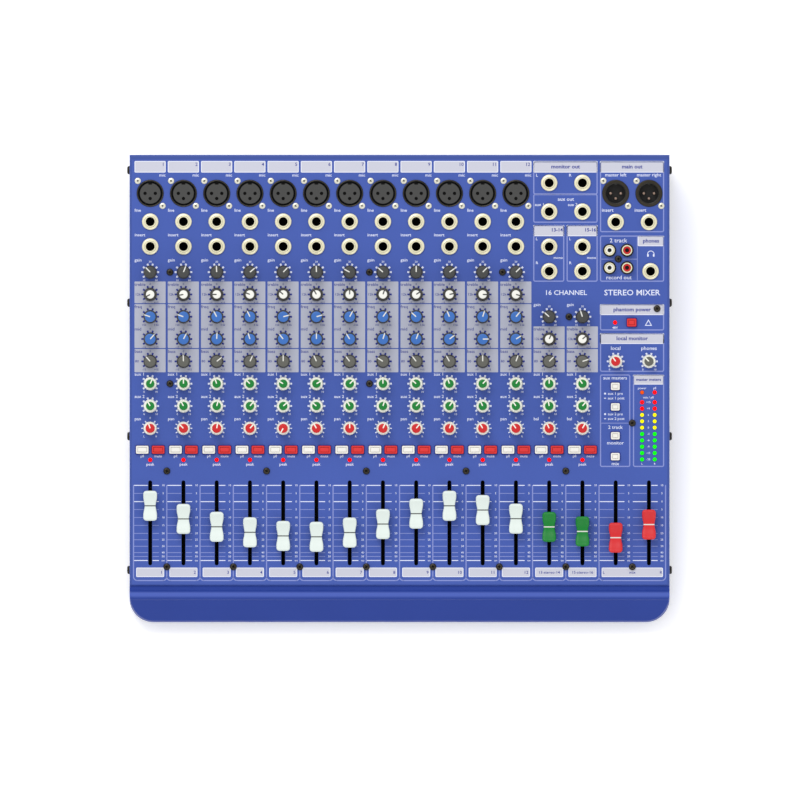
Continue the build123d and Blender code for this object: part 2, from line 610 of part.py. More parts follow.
PHONO_BARREL = (4.15, 3.45)  # outside and inside radius
PHONO_HEIGHT = 6.5
PHONO_DEPTH = 12.0
PHONO_BODY_RADIUS = 5.6
PHONO_COLLAR_HEIGHT = 1.0
PHONO_STEP = 1.0  # how far the insulator sits inside the barrel
PHONO_CONTACT_RADIUS = 1.6
PHONO_CONTACT_BOTTOM = -8.0
with BuildPart() as phono_socket:
    with BuildSketch(Plane.XY.offset(-PHONO_DEPTH)):
        Circle(PHONO_BODY_RADIUS)
    extrude(amount=PHONO_DEPTH - SHEET)
    with BuildSketch(Plane.XY.offset(-SHEET)):
        Circle(PHONO_RADIUS)
    extrude(amount=SHEET + PHONO_COLLAR_HEIGHT)
    with BuildSketch():
        Circle(PHONO_BARREL[0])
    extrude(amount=PHONO_HEIGHT)
    with BuildSketch(Plane.XY.offset(PHONO_HEIGHT)):
        Circle(PHONO_BARREL[1])
    extrude(amount=-PHONO_STEP, mode=Mode.SUBTRACT)
    with BuildSketch(Plane.XY.offset(PHONO_HEIGHT)):
        Circle(PHONO_CONTACT_RADIUS)
    extrude(amount=PHONO_CONTACT_BOTTOM - PHONO_HEIGHT, mode=Mode.SUBTRACT)
with BuildPart() as phono_sockets:
    with Locations(*[on_panel(x, s) for x, s in PHONO_PLACES]):
        add(phono_socket.part)

LED_FACES = (-4.0, 1.6)
with BuildPart() as led:
    with BuildSketch(Plane.XY.offset(LED_FACES[0])):
        Circle(LED_RADIUS)
    extrude(amount=LED_FACES[1] - LED_FACES[0])
    fillet(led.edges().group_by(Axis.Z)[-1], DOME * LED_RADIUS)
with BuildPart() as indicator_leds:
    with Locations(*[on_panel(x, s) for x, s in LED_PLACES]):
        add(led.part)

# --- rotary controls ----------------------------------------------------------------------------------

POT_BODY = (10.0, 11.0, 7.0)
POT_BUSH_TOP = 3.0
POT_SHAFT_RADIUS = 3.0
POT_BORE_BOTTOM = -10.0
SHAFT_TOP = 9.5
KNOB_SKIRT_RADIUS = 5.5
KNOB_BOTTOM = 0.8
KNOB_SHOULDER = 10.6
KNOB_TOP = 13.0
KNOB_CAP_RADIUS = 3.9
KNOB_TAPER = 0.2
KNOB_SHOULDER_EDGE = 1.0
KNOB_CAP_EDGE = 0.4
KNOB_GAP = 0.6  # between the knob and the bush it hides
POINTER = (1.0, 0.4)  # width and depth of the pointer line


def pot(turning):
    """A rotary pot. A fixed one has its shaft; a turning one has the bore that its knob's shaft runs in."""
    with BuildPart() as body:
        with BuildSketch(Plane.XY.offset(-CHANNEL_BOARD_DEPTH)):
            Rectangle(POT_BODY[0], POT_BODY[1])
        extrude(amount=POT_BODY[2])
        with BuildSketch(Plane.XY.offset(POT_BODY[2] - CHANNEL_BOARD_DEPTH)):
            Circle(POT_BUSH_RADIUS)
        extrude(amount=CHANNEL_BOARD_DEPTH - POT_BODY[2] + POT_BUSH_TOP)
        if turning:
            with BuildSketch(Plane.XY.offset(POT_BUSH_TOP)):
                Circle(POT_SHAFT_RADIUS + FIT)
            extrude(amount=POT_BORE_BOTTOM - POT_BUSH_TOP, mode=Mode.SUBTRACT)
        else:
            with BuildSketch(Plane.XY.offset(POT_BUSH_TOP)):
                Circle(POT_SHAFT_RADIUS)
            extrude(amount=SHAFT_TOP - POT_BUSH_TOP)
    return body.part


with BuildPart() as rotary_pots:
    with Locations(*[on_panel(x, s) for x, s, turn in FIXED_PLACES]):
        add(pot(turning=False))
    with Locations(*[on_panel(x, s) for x, s, turn in TURNING_PLACES]):
        add(pot(turning=True))

with BuildPart() as knob:
    with BuildSketch(Plane.XZ):
        with BuildLine():
            Polyline(
                (POT_SHAFT_RADIUS + FIT, SHAFT_TOP + FIT),
                (POT_SHAFT_RADIUS + FIT, POT_BUSH_TOP + KNOB_GAP),
                (POT_BUSH_RADIUS + KNOB_GAP, POT_BUSH_TOP + KNOB_GAP),
                (POT_BUSH_RADIUS + KNOB_GAP, KNOB_BOTTOM),
                (KNOB_SKIRT_RADIUS, KNOB_BOTTOM),
                (KNOB_SKIRT_RADIUS - KNOB_TAPER, KNOB_SHOULDER - KNOB_SHOULDER_EDGE),
                (KNOB_SKIRT_RADIUS - KNOB_SHOULDER_EDGE, KNOB_SHOULDER),
                (KNOB_CAP_RADIUS, KNOB_SHOULDER),
                (KNOB_CAP_RADIUS, KNOB_TOP - KNOB_CAP_EDGE),
                (KNOB_CAP_RADIUS - KNOB_CAP_EDGE, KNOB_TOP),
                (0, KNOB_TOP),
                (0, SHAFT_TOP + FIT),
                close=True,
            )
        make_face()
    revolve(axis=Axis.Z)
    with BuildSketch(Plane.XY.offset(KNOB_TOP)):
        with Locations((0, KNOB_CAP_RADIUS / 2)):
            Rectangle(POINTER[0], KNOB_CAP_RADIUS)
    extrude(amount=-POINTER[1], mode=Mode.SUBTRACT)
with BuildPart() as knob_shaft:
    with BuildSketch(Plane.XY.offset(POT_BORE_BOTTOM + FIT)):
        Circle(POT_SHAFT_RADIUS)
    extrude(amount=SHAFT_TOP - POT_BORE_BOTTOM - FIT)


def knob_group(*kinds):
    """Every fixed knob of the given kinds, each at its pointer's angle. Channel one's knobs turn instead."""
    with BuildPart() as group:
        with Locations(*[on_panel(x, s, 0, turn) for kind in kinds for x, s, turn in knob_places(kind)[1:]]):
            add(knob.part)
    return group


def turning_knob(place):
    """One knob with its own shaft."""
    x, s, turn = place
    with BuildPart() as control:
        with Locations(on_panel(x, s, 0, turn)):
            add(knob.part)
            add(knob_shaft.part)
    return control


dark_knobs = knob_group(GAIN, BASS)
white_knobs = knob_group(TREBLE)
blue_knobs = knob_group(MID_FREQ, MID)
green_knobs = knob_group(AUX_1, AUX_2)
red_knobs = knob_group(PAN)

KNOB_NAMES = ("gain", "treble", "mid_freq", "mid", "bass", "aux_1", "aux_2", "pan")
turning_knobs = {
    f"{name}_knob_1": turning_knob(knob_places(kind)[0])
    for kind, name in enumerate(KNOB_NAMES)
}
turning_knobs["local_knob"] = turning_knob(LOCAL_PLACE)
turning_knobs["phones_knob"] = turning_knob(PHONES_PLACE)

# --- push buttons -------------------------------------------------------------------------------------

SWITCH_BODY = (8.0, 8.0, 5.0)
STEM_SIDE = 3.0
STEM_GAP = 0.15
BUTTON_BOTTOM = -4.0
BUTTON_TOP = 3.4
BUTTON_CORNER = 0.5
BUTTON_EDGE = 0.4
STEM_BOTTOM = -9.0
SWITCH_BORE_BOTTOM = -11.4


def button(size):
    """A square-shouldered cap with the stem that reaches into its switch."""
    with BuildPart() as cap:
        with BuildSketch(Plane.XY.offset(BUTTON_BOTTOM)):
            Rectangle(*size)
        extrude(amount=BUTTON_TOP - BUTTON_BOTTOM)
        fillet(cap.edges().filter_by(Axis.Z), BUTTON_CORNER)
        fillet(cap.edges().group_by(Axis.Z)[-1], BUTTON_EDGE)
        with BuildSketch(Plane.XY.offset(BUTTON_BOTTOM)):
            Rectangle(STEM_SIDE, STEM_SIDE)
        extrude(amount=STEM_BOTTOM - BUTTON_BOTTOM)
    return cap.part


def buttons_at(places, size):
    with BuildPart() as group:
        with Locations(*[on_panel(x, s) for x, s in places]):
            add(button(size))
    return group


white_buttons = buttons_at(PFL_PLACES[1:], CHANNEL_BUTTON)
red_buttons = buttons_at(MUTE_PLACES[1:], CHANNEL_BUTTON)
MASTER_BUTTON_NAMES = (
    "aux_1_pre_button",
    "aux_2_pre_button",
    "two_track_monitor_button",
    "two_track_mix_button",
)
pushing_buttons = {
    name: buttons_at([place], MASTER_BUTTON)
    for name, place in zip(MASTER_BUTTON_NAMES, MASTER_BUTTON_PLACES)
}
pushing_buttons["pfl_button_1"] = buttons_at(PFL_PLACES[:1], CHANNEL_BUTTON)
pushing_buttons["mute_button_1"] = buttons_at(MUTE_PLACES[:1], CHANNEL_BUTTON)
pushing_buttons["phantom_button"] = buttons_at([PHANTOM_PLACE], PHANTOM_BUTTON)

with BuildPart() as switch_body:
    with BuildSketch(Plane.XY.offset(-CHANNEL_BOARD_DEPTH)):
        Rectangle(SWITCH_BODY[0], SWITCH_BODY[1])
    extrude(amount=SWITCH_BODY[2])
    with BuildSketch(Plane.XY.offset(SWITCH_BODY[2] - CHANNEL_BOARD_DEPTH)):
        Rectangle(STEM_SIDE + 2 * STEM_GAP, STEM_SIDE + 2 * STEM_GAP)
    extrude(amount=SWITCH_BORE_BOTTOM - SWITCH_BODY[2] + CHANNEL_BOARD_DEPTH, mode=Mode.SUBTRACT)
with BuildPart() as switch_bodies:
    with Locations(*[on_panel(x, s) for x, s in SWITCH_PLACES]):
        add(switch_body.part)

# --- faders -------------------------------------------------------------------------------------------

TRACK = (8.4, 76.0)
TRACK_TOP = -3.5
TRACK_CAVITY = (6.0, 68.6)
TRACK_CAVITY_FACES = (-5.0, -11.0)
TRACK_SLOT = (2.6, 66.0)
CARRIAGE = (5.4, 7.0)
CARRIAGE_FACES = (-6.0, -10.0)
LEVER = (1.6, 4.0)
LEVER_TOP = 6.0
CAP_SIZE = (10.9, 24.0)
CAP_BOTTOM = 2.0
CAP_END_TOP = 11.0
CAP_MIDDLE_TOP = 7.6
CAP_WAIST = 8.9
CAP_END_SLOPE = 1.6  # how far each end leans in from its foot to its top
with BuildPart() as fader_track:
    with BuildSketch(Plane.XY.offset(-CHANNEL_BOARD_DEPTH)):
        Rectangle(*TRACK)
    extrude(amount=CHANNEL_BOARD_DEPTH + TRACK_TOP)
    with BuildSketch(Plane.XY.offset(TRACK_CAVITY_FACES[0])):
        Rectangle(*TRACK_CAVITY)
    extrude(amount=TRACK_CAVITY_FACES[1] - TRACK_CAVITY_FACES[0], mode=Mode.SUBTRACT)
    with BuildSketch(Plane.XY.offset(TRACK_TOP)):
        Rectangle(*TRACK_SLOT)
    extrude(amount=TRACK_CAVITY_FACES[0] - TRACK_TOP, mode=Mode.SUBTRACT)
with BuildPart() as fader_tracks:
    with Locations(*[on_panel(column_x(c), FADER_ROW) for c in range(COLUMNS)]):
        add(fader_track.part)

with BuildPart() as fader_lever:
    with BuildSketch(Plane.XY.offset(CARRIAGE_FACES[1])):
        Rectangle(*CARRIAGE)
    extrude(amount=CARRIAGE_FACES[0] - CARRIAGE_FACES[1])
    with BuildSketch(Plane.XY.offset(CARRIAGE_FACES[0])):
        Rectangle(*LEVER)
    extrude(amount=LEVER_TOP - CARRIAGE_FACES[0])

# The cap is scooped for a fingertip and waisted at its sides.
with BuildPart() as fader_cap:
    with BuildSketch(Plane.YZ):
        with BuildLine():
            half_length = CAP_SIZE[1] / 2
            Polyline(
                (-half_length + CAP_END_SLOPE, CAP_END_TOP),
                (-half_length, CAP_BOTTOM),
                (half_length, CAP_BOTTOM),
                (half_length - CAP_END_SLOPE, CAP_END_TOP),
            )
            ThreePointArc(
                (half_length - CAP_END_SLOPE, CAP_END_TOP),
                (0, CAP_MIDDLE_TOP),
                (-half_length + CAP_END_SLOPE, CAP_END_TOP),
            )
        make_face()
    extrude(amount=CAP_SIZE[0] / 2, both=True)
    with BuildSketch(Plane.XY.offset(CAP_BOTTOM)):
        for side in (-1, 1):
            with BuildLine():
                edge_x = side * CAP_SIZE[0] / 2
                Line((edge_x, -half_length), (edge_x, half_length))
                ThreePointArc((edge_x, half_length), (side * CAP_WAIST / 2, 0), (edge_x, -half_length))
            make_face()
    extrude(amount=CAP_END_TOP, mode=Mode.SUBTRACT)
    with BuildSketch(Plane.XY.offset(CAP_BOTTOM)):
        Rectangle(LEVER[0] + 2 * FIT, LEVER[1] + 2 * FIT)
    extrude(amount=LEVER_TOP + HOLE_GAP - CAP_BOTTOM, mode=Mode.SUBTRACT)


def fader(column):
    """One fader at rest: the cap and the lever that carries it through the slot."""
    s = FADER_ROW + FADER_TRAVEL / 2 - FADER_HEIGHTS[column]
    with BuildPart() as control:
        with Locations(on_panel(column_x(column), s)):
            add(fader_lever.part)
            add(fader_cap.part)
    return control


faders = {f"fader_{column + 1:02d}": fader(column) for column in range(COLUMNS)}

# --- mains supply -------------------------------------------------------------------------------------

TRAY_FLOOR_Z = FOOT_HEIGHT + SHEET
REAR_WALL_Y = TRAY_REAR_Y  # outer face of the tray's rear wall
INLET_FLANGE = (50.0, 27.0, 2.4)
INLET_FLANGE_CORNER = 4.0
INLET_RECESS = (24.4, 16.6, 15.0)
INLET_DEPTH = 24.0
BLADE = (2.0, 4.0, 11.0)
BLADE_SEAT = 2.0  # how deep each blade stands in the floor of the recess
BLADE_PLACES = ((-7.0, -2.0), (7.0, -2.0), (0.0, 3.0))  # from the middle of the inlet
ROCKER_BEZEL = (18.4, 25.0, 1.6)
ROCKER_BEZEL_CORNER = 1.5
ROCKER_FRAME_DEPTH = 16.0
ROCKER_WINDOW = (12.2, 19.0, 10.0)
ROCKER_PIVOT_Y = REAR_WALL_Y - 2.0
ROCKER_TILT = 8.0
ROCKER_WIDTH = 11.6
ROCKER_HALF_HEIGHT = 8.4
PIVOT_RADIUS = 1.4
PIVOT_LENGTH = 0.8  # beyond the window's side, at each end
PIVOT_HOLE_DEPTH = 1.0

with BuildPart() as power_inlet:
    # inlet: a flange on the rear wall, a body through it and a recess with three separate blades
    with BuildSketch(Plane.XZ.offset(-REAR_WALL_Y)):
        with Locations((INLET_X, INLET_Z)):
            RectangleRounded(INLET_FLANGE[0], INLET_FLANGE[1], INLET_FLANGE_CORNER)
    extrude(amount=-INLET_FLANGE[2])
    with BuildSketch(Plane.XZ.offset(-REAR_WALL_Y)):
        with Locations((INLET_X, INLET_Z)):
            Rectangle(*INLET_BODY)
    extrude(amount=INLET_DEPTH)
    with BuildSketch(Plane.XZ.offset(-REAR_WALL_Y - INLET_FLANGE[2])):
        with Locations((INLET_X, INLET_Z)):
            Rectangle(INLET_RECESS[0], INLET_RECESS[1])
    extrude(amount=INLET_RECESS[2] + INLET_FLANGE[2], mode=Mode.SUBTRACT)
    recess_floor = Plane.XZ.offset(-REAR_WALL_Y + INLET_RECESS[2])
    with BuildSketch(recess_floor):
        with Locations(*[(INLET_X + x, INLET_Z + z) for x, z in BLADE_PLACES]):
            Rectangle(BLADE[0] + 2 * FIT, BLADE[1] + 2 * FIT)
    extrude(amount=BLADE_SEAT, mode=Mode.SUBTRACT)
    with BuildSketch(recess_floor.offset(BLADE_SEAT - FIT)):
        with Locations(*[(INLET_X + x, INLET_Z + z) for x, z in BLADE_PLACES]):
            Rectangle(BLADE[0], BLADE[1])
    extrude(amount=FIT - BLADE_SEAT - BLADE[2])
    # switch frame beside it, with holes for the rocker's pivots
    with BuildSketch(Plane.XZ.offset(-REAR_WALL_Y)):
        with Locations((ROCKER_X, INLET_Z)):
            RectangleRounded(ROCKER_BEZEL[0], ROCKER_BEZEL[1], ROCKER_BEZEL_CORNER)
    extrude(amount=-ROCKER_BEZEL[2])
    with BuildSketch(Plane.XZ.offset(-REAR_WALL_Y)):
        with Locations((ROCKER_X, INLET_Z)):
            Rectangle(*ROCKER_FRAME)
    extrude(amount=ROCKER_FRAME_DEPTH)
    with BuildSketch(Plane.XZ.offset(-REAR_WALL_Y - ROCKER_BEZEL[2])):
        with Locations((ROCKER_X, INLET_Z)):
            Rectangle(ROCKER_WINDOW[0], ROCKER_WINDOW[1])
    extrude(amount=ROCKER_BEZEL[2] + ROCKER_WINDOW[2], mode=Mode.SUBTRACT)
    with BuildSketch(Plane.YZ.offset(ROCKER_X)):
        with Locations((ROCKER_PIVOT_Y, INLET_Z)):
            Circle(PIVOT_RADIUS + FIT)
    extrude(amount=ROCKER_WINDOW[0] / 2 + PIVOT_HOLE_DEPTH, both=True, mode=Mode.SUBTRACT)

# The rocker is a shallow vee, pressed in at its top at rest. Its outline is (y, z) from the pivot.
ROCKER_OUTLINE = (
    (3.4, 0.0),
    (4.4, -ROCKER_HALF_HEIGHT),
    (-1.5, -ROCKER_HALF_HEIGHT),
    (-4.0, 0.0),
    (-1.5, ROCKER_HALF_HEIGHT),
    (4.4, ROCKER_HALF_HEIGHT),
)
with BuildPart() as power_rocker:
    with BuildSketch(Plane(origin=(ROCKER_X, ROCKER_PIVOT_Y, INLET_Z), x_dir=(0, 1, 0), z_dir=(1, 0, 0))):
        Polygon(*ROCKER_OUTLINE, align=None, rotation=ROCKER_TILT)
    extrude(amount=ROCKER_WIDTH / 2, both=True)
    with BuildSketch(Plane.YZ.offset(ROCKER_X)):
        with Locations((ROCKER_PIVOT_Y, INLET_Z)):
            Circle(PIVOT_RADIUS)
    extrude(amount=ROCKER_WINDOW[0] / 2 + PIVOT_LENGTH, both=True)

# The supply is a small board on the tray with its transformer, two capacitors and a slotted heat sink.
SUPPLY_PLACE = (90.0, 105.0)
SUPPLY_BOARD = (120.0, 70.0)
SUPPLY_GAP = 4.0
SUPPLY_FOOT_RADIUS = 3.0
SUPPLY_FOOT_INSET = 4.0
TRANSFORMER = (46.0, 40.0, 26.0)
TRANSFORMER_X = SUPPLY_PLACE[0] + 28.0
CAPACITOR_RADIUS = 8.0
CAPACITOR_HEIGHT = 24.0
CAPACITOR_X = SUPPLY_PLACE[0] - 12.0
CAPACITOR_SPREAD = 12.0
HEAT_SINK = (20.0, 50.0, 20.0)
HEAT_SINK_X = SUPPLY_PLACE[0] - 40.0
HEAT_SINK_SLOT = (3.0, 46.0)
HEAT_SINK_PITCH = 6.0
with BuildPart() as power_supply:
    board_z = TRAY_FLOOR_Z + SUPPLY_GAP
    board_top_z = board_z + BOARD_THICKNESS
    with BuildSketch(Plane.XY.offset(board_z)):
        with Locations(SUPPLY_PLACE):
            Rectangle(*SUPPLY_BOARD)
    extrude(amount=BOARD_THICKNESS)
    with BuildSketch(Plane.XY.offset(TRAY_FLOOR_Z)):
        with Locations(SUPPLY_PLACE):
            with GridLocations(*[side - 2 * SUPPLY_FOOT_INSET for side in SUPPLY_BOARD], 2, 2):
                Circle(SUPPLY_FOOT_RADIUS)
    extrude(amount=SUPPLY_GAP)
    with BuildSketch(Plane.XY.offset(board_top_z + FIT)):
        with Locations((TRANSFORMER_X, SUPPLY_PLACE[1])):
            Rectangle(TRANSFORMER[0], TRANSFORMER[1])
    extrude(amount=TRANSFORMER[2])
    with BuildSketch(Plane.XY.offset(board_top_z + FIT)):
        with Locations(*[(CAPACITOR_X, SUPPLY_PLACE[1] + side * CAPACITOR_SPREAD) for side in (-1, 1)]):
            Circle(CAPACITOR_RADIUS)
    extrude(amount=CAPACITOR_HEIGHT)
    with BuildSketch(Plane.XY.offset(board_top_z + FIT)):
        with Locations((HEAT_SINK_X, SUPPLY_PLACE[1])):
            Rectangle(HEAT_SINK[0], HEAT_SINK[1])
            with GridLocations(HEAT_SINK_PITCH, HEAT_SINK_SLOT[1], 3, 1):
                Rectangle(*HEAT_SINK_SLOT, mode=Mode.SUBTRACT)
    extrude(amount=HEAT_SINK[2])

# --- finished pieces ----------------------------------------------------------------------------------

finished = {
    "top_cover": top_cover,
    "base_tray": base_tray,
    "front_nose": front_nose,
    "rubber_feet": rubber_feet,
    "case_screws": case_screws,
    "xlr_screws": xlr_screws,
    "standoffs": standoffs,
    "circuit_boards": circuit_boards,
    "mic_sockets": mic_sockets,
    "output_sockets": output_sockets,
    "jack_bodies": jack_bodies,
    "jack_nuts": jack_nuts,
    "phono_sockets": phono_sockets,
    "indicator_leds": indicator_leds,
    "rotary_pots": rotary_pots,
    "dark_knobs": dark_knobs,
    "white_knobs": white_knobs,
    "blue_knobs": blue_knobs,
    "green_knobs": green_knobs,
    "red_knobs": red_knobs,
    "white_buttons": white_buttons,
    "red_buttons": red_buttons,
    "switch_bodies": switch_bodies,
    "fader_tracks": fader_tracks,
    "power_supply": power_supply,
    "power_inlet": power_inlet,
    "power_rocker": power_rocker,
    **turning_knobs,
    **pushing_buttons,
    **faders,
}
os.makedirs("parts", exist_ok=True)
for name, piece in finished.items():
    piece.part.label = name
    export_step(piece.part, f"parts/{name}.step")
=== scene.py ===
import json
from math import cos, pi, radians, sin, sqrt

import bmesh
import bpy
from mathutils import Matrix, Vector


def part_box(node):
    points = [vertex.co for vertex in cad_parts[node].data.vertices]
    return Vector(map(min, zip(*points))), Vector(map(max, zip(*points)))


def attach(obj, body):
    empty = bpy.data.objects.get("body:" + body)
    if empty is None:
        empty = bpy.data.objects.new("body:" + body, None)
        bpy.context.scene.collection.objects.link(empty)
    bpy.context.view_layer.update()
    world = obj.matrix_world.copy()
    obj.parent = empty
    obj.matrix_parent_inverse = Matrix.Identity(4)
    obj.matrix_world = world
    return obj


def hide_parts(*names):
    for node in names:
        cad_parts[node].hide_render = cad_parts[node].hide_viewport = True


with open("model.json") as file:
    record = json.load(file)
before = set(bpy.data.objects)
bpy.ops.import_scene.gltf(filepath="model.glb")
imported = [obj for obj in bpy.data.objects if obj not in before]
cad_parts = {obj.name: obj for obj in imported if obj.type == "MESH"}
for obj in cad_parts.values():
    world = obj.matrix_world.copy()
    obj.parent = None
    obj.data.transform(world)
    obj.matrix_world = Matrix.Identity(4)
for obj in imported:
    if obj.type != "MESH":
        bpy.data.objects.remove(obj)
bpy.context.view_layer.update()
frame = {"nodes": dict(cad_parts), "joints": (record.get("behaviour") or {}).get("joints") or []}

# Lengths of the console's details are in millimetres on its panel: x across, s down the slope from the
# rear edge, n above the face. The panel's own place and tilt come from the frame.

MM = 0.001


def add_object(name, data):
    made = bpy.data.objects.new(name, data)
    bpy.context.scene.collection.objects.link(made)
    return made


# --- the panel, from the joints ---

joints = {joint["name"]: joint for joint in frame["joints"]}
NORMAL = Vector(joints["gain_knob_1_turn"]["axis"]).normalized()
UPHILL = Vector(joints["fader_01_slide"]["axis"]).normalized()
RIGHT = UPHILL.cross(NORMAL)
KNOB_JOINT_HEIGHT = 5.0


def find_panel_origin():
    """The middle of the panel's rear edge, where the slope meets the rear face."""
    on_face = Vector(joints["gain_knob_1_turn"]["pos_m"]) - KNOB_JOINT_HEIGHT * MM * NORMAL
    rear_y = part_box("top_cover")[1].y
    edge = on_face + UPHILL * (rear_y - on_face.y) / UPHILL.y
    return Vector((0.0, edge.y, edge.z))


PANEL_ORIGIN = find_panel_origin()
PANEL_TURN = Matrix((RIGHT, UPHILL, NORMAL)).transposed().to_4x4()


def on_panel(x, s, n=0.0, turn=0.0):
    """Matrix from a piece's own millimetres to its place on the panel, turned clockwise by degrees."""
    place = Matrix.Translation(PANEL_ORIGIN) @ PANEL_TURN @ Matrix.Scale(MM, 4)
    return place @ Matrix.Translation((x, -s, n)) @ Matrix.Rotation(radians(-turn), 4, "Z")


def down_slope(point):
    """How far down the slope a place lies, in millimetres."""
    return (PANEL_ORIGIN - point).dot(UPHILL) / MM


COLUMNS = 16
MONO = 12
STRIPS = 14


def middle_x(node):
    low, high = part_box(node)
    return (low.x + high.x) / 2 / MM


FIRST_X = middle_x("fader_01")
PITCH = (middle_x("fader_16") - FIRST_X) / (COLUMNS - 1)


def column_x(column):
    return FIRST_X + column * PITCH


def boundary_x(boundary):
    return FIRST_X + (boundary - 0.5) * PITCH


GAIN, TREBLE, MID_FREQ, MID, BASS, AUX_1, AUX_2, PAN = range(8)
KNOB_NAMES = ("gain", "treble", "mid_freq", "mid", "bass", "aux_1", "aux_2", "pan")
KNOB_ROWS = [down_slope(Vector(joints[f"{name}_knob_1_turn"]["pos_m"])) for name in KNOB_NAMES]

XLR_ROW = 31.1
LINE_ROW = 53.7
INSERT_ROW = 73.6
BUTTON_ROW = 236.2
BUTTON_OFFSET = 6.35
PEAK_ROW = 244.3
MONITOR_JACK_ROW = 22.7
AUX_JACK_ROW = 45.7
STEREO_JACK_ROWS = (73.8, 93.4)
MAIN_INSERT_ROW = 54.0
PHONES_JACK_SHIFT = 1.3
METER_X = (194.0, 204.1)
METER_TOP = 198.2
LED_PITCH = 5.08
STATUS_ROW = 190.3
PHANTOM_LED = (172.4, 134.4)
PHANTOM_BUTTON = (185.7, 134.4)
MASTER_BUTTON_X = 172.6
MASTER_BUTTON_ROWS = (185.5, 201.9, 225.0, 241.7)
PHONO_X = (168.0, 182.0)
PHONO_ROWS = (76.6, 90.6)

# Pointer angles, clockwise from straight up, one for each strip.
MONO_ANGLES = {
    GAIN: (-44, 22, -3, 50, 44, -2, -62, -48, 0, 55, 45, 45),
    TREBLE: (-118, -100, -90, -68, -48, -30, 0, 20, 55, 78, 92, 105),
    MID_FREQ: (-72, -70, -28, -25, 75, 73, 28, 35, -48, -22, 18, 40),
    MID: (42, 28, 3, -17, -38, 0, -32, 17, 20, 53, 90, 58),
    BASS: (-42, -2, 52, 25, 0, -24, -38, -57, -37, -30, 0, 20),
    AUX_1: (25, 0, -20, -45, -60, 60, 45, 0, -50, -20, 45, 35),
    AUX_2: (-30, -28, 15, 40, 50, -50, -30, 18, 40, 35, -25, -35),
    PAN: (-20, -45, 10, 42, -150, -30, 0, 25, 40, 20, -30, -35),
}
STEREO_ANGLES = {
    GAIN: (MID_FREQ, (-48, -18)),
    TREBLE: (MID, (25, 50)),
    BASS: (BASS, (45, 72)),
    AUX_1: (AUX_1, (0, -35)),
    AUX_2: (AUX_2, (-10, 40)),
    PAN: (PAN, (-25, 30)),
}


def knob_places(kind):
    """(x, s, angle) of every knob of one kind, channel one first."""
    places = [(column_x(c), KNOB_ROWS[kind], turn) for c, turn in enumerate(MONO_ANGLES[kind])]
    if kind in STEREO_ANGLES:
        row, turns = STEREO_ANGLES[kind]
        places += [(column_x(MONO + i), KNOB_ROWS[row], turn) for i, turn in enumerate(turns)]
    return places


LOCAL_PLACE = (column_x(14), KNOB_ROWS[BASS], -35)
PHONES_PLACE = (column_x(15), KNOB_ROWS[BASS], -45)

XLR_PLACES = [(column_x(c), XLR_ROW) for c in range(MONO)]
OUTPUT_PLACES = [(column_x(c), XLR_ROW) for c in (14, 15)]
JACK_PLACES = (
    [(column_x(c), row) for row in (LINE_ROW, INSERT_ROW) for c in range(MONO)]
    + [(column_x(c), row) for row in (MONITOR_JACK_ROW, AUX_JACK_ROW, *STEREO_JACK_ROWS) for c in (12, 13)]
    + [(column_x(c), MAIN_INSERT_ROW) for c in (14, 15)]
    + [(column_x(15) + PHONES_JACK_SHIFT, STEREO_JACK_ROWS[1])]
)
SCREW_SIDESTEP = 10.8
PANEL_SCREW_PLACES = (
    [(column_x(c) - SCREW_SIDESTEP, KNOB_ROWS[GAIN]) for c in (1, 7, 11)]
    + [(column_x(13) - SCREW_SIDESTEP, KNOB_ROWS[MID_FREQ])]
    + [(column_x(c) - SCREW_SIDESTEP, KNOB_ROWS[AUX_1]) for c in (1, 7)]
    + [(boundary_x(b), 253.2) for b in (1, 4, 7, 10, 13)]
    + [(boundary_x(b), 329.8) for b in (1, 3, 5, 7, 9, 11, 13, 15)]
    + [(boundary_x(15), 214.8), (206.0, 123.3), (175.0, 83.6)]
)
XLR_SCREW_STEP = (9.9, 10.0)

# --- colours and materials ---


def linear(*screen):
    """Screen values from 0 to 255 as a linear colour."""
    return tuple(((v / 255 + 0.055) / 1.055) ** 2.4 if v > 10 else v / 255 / 12.92 for v in screen)


def scaled(colour, factor):
    return (*[min(1.0, channel * factor) for channel in colour], 1.0)


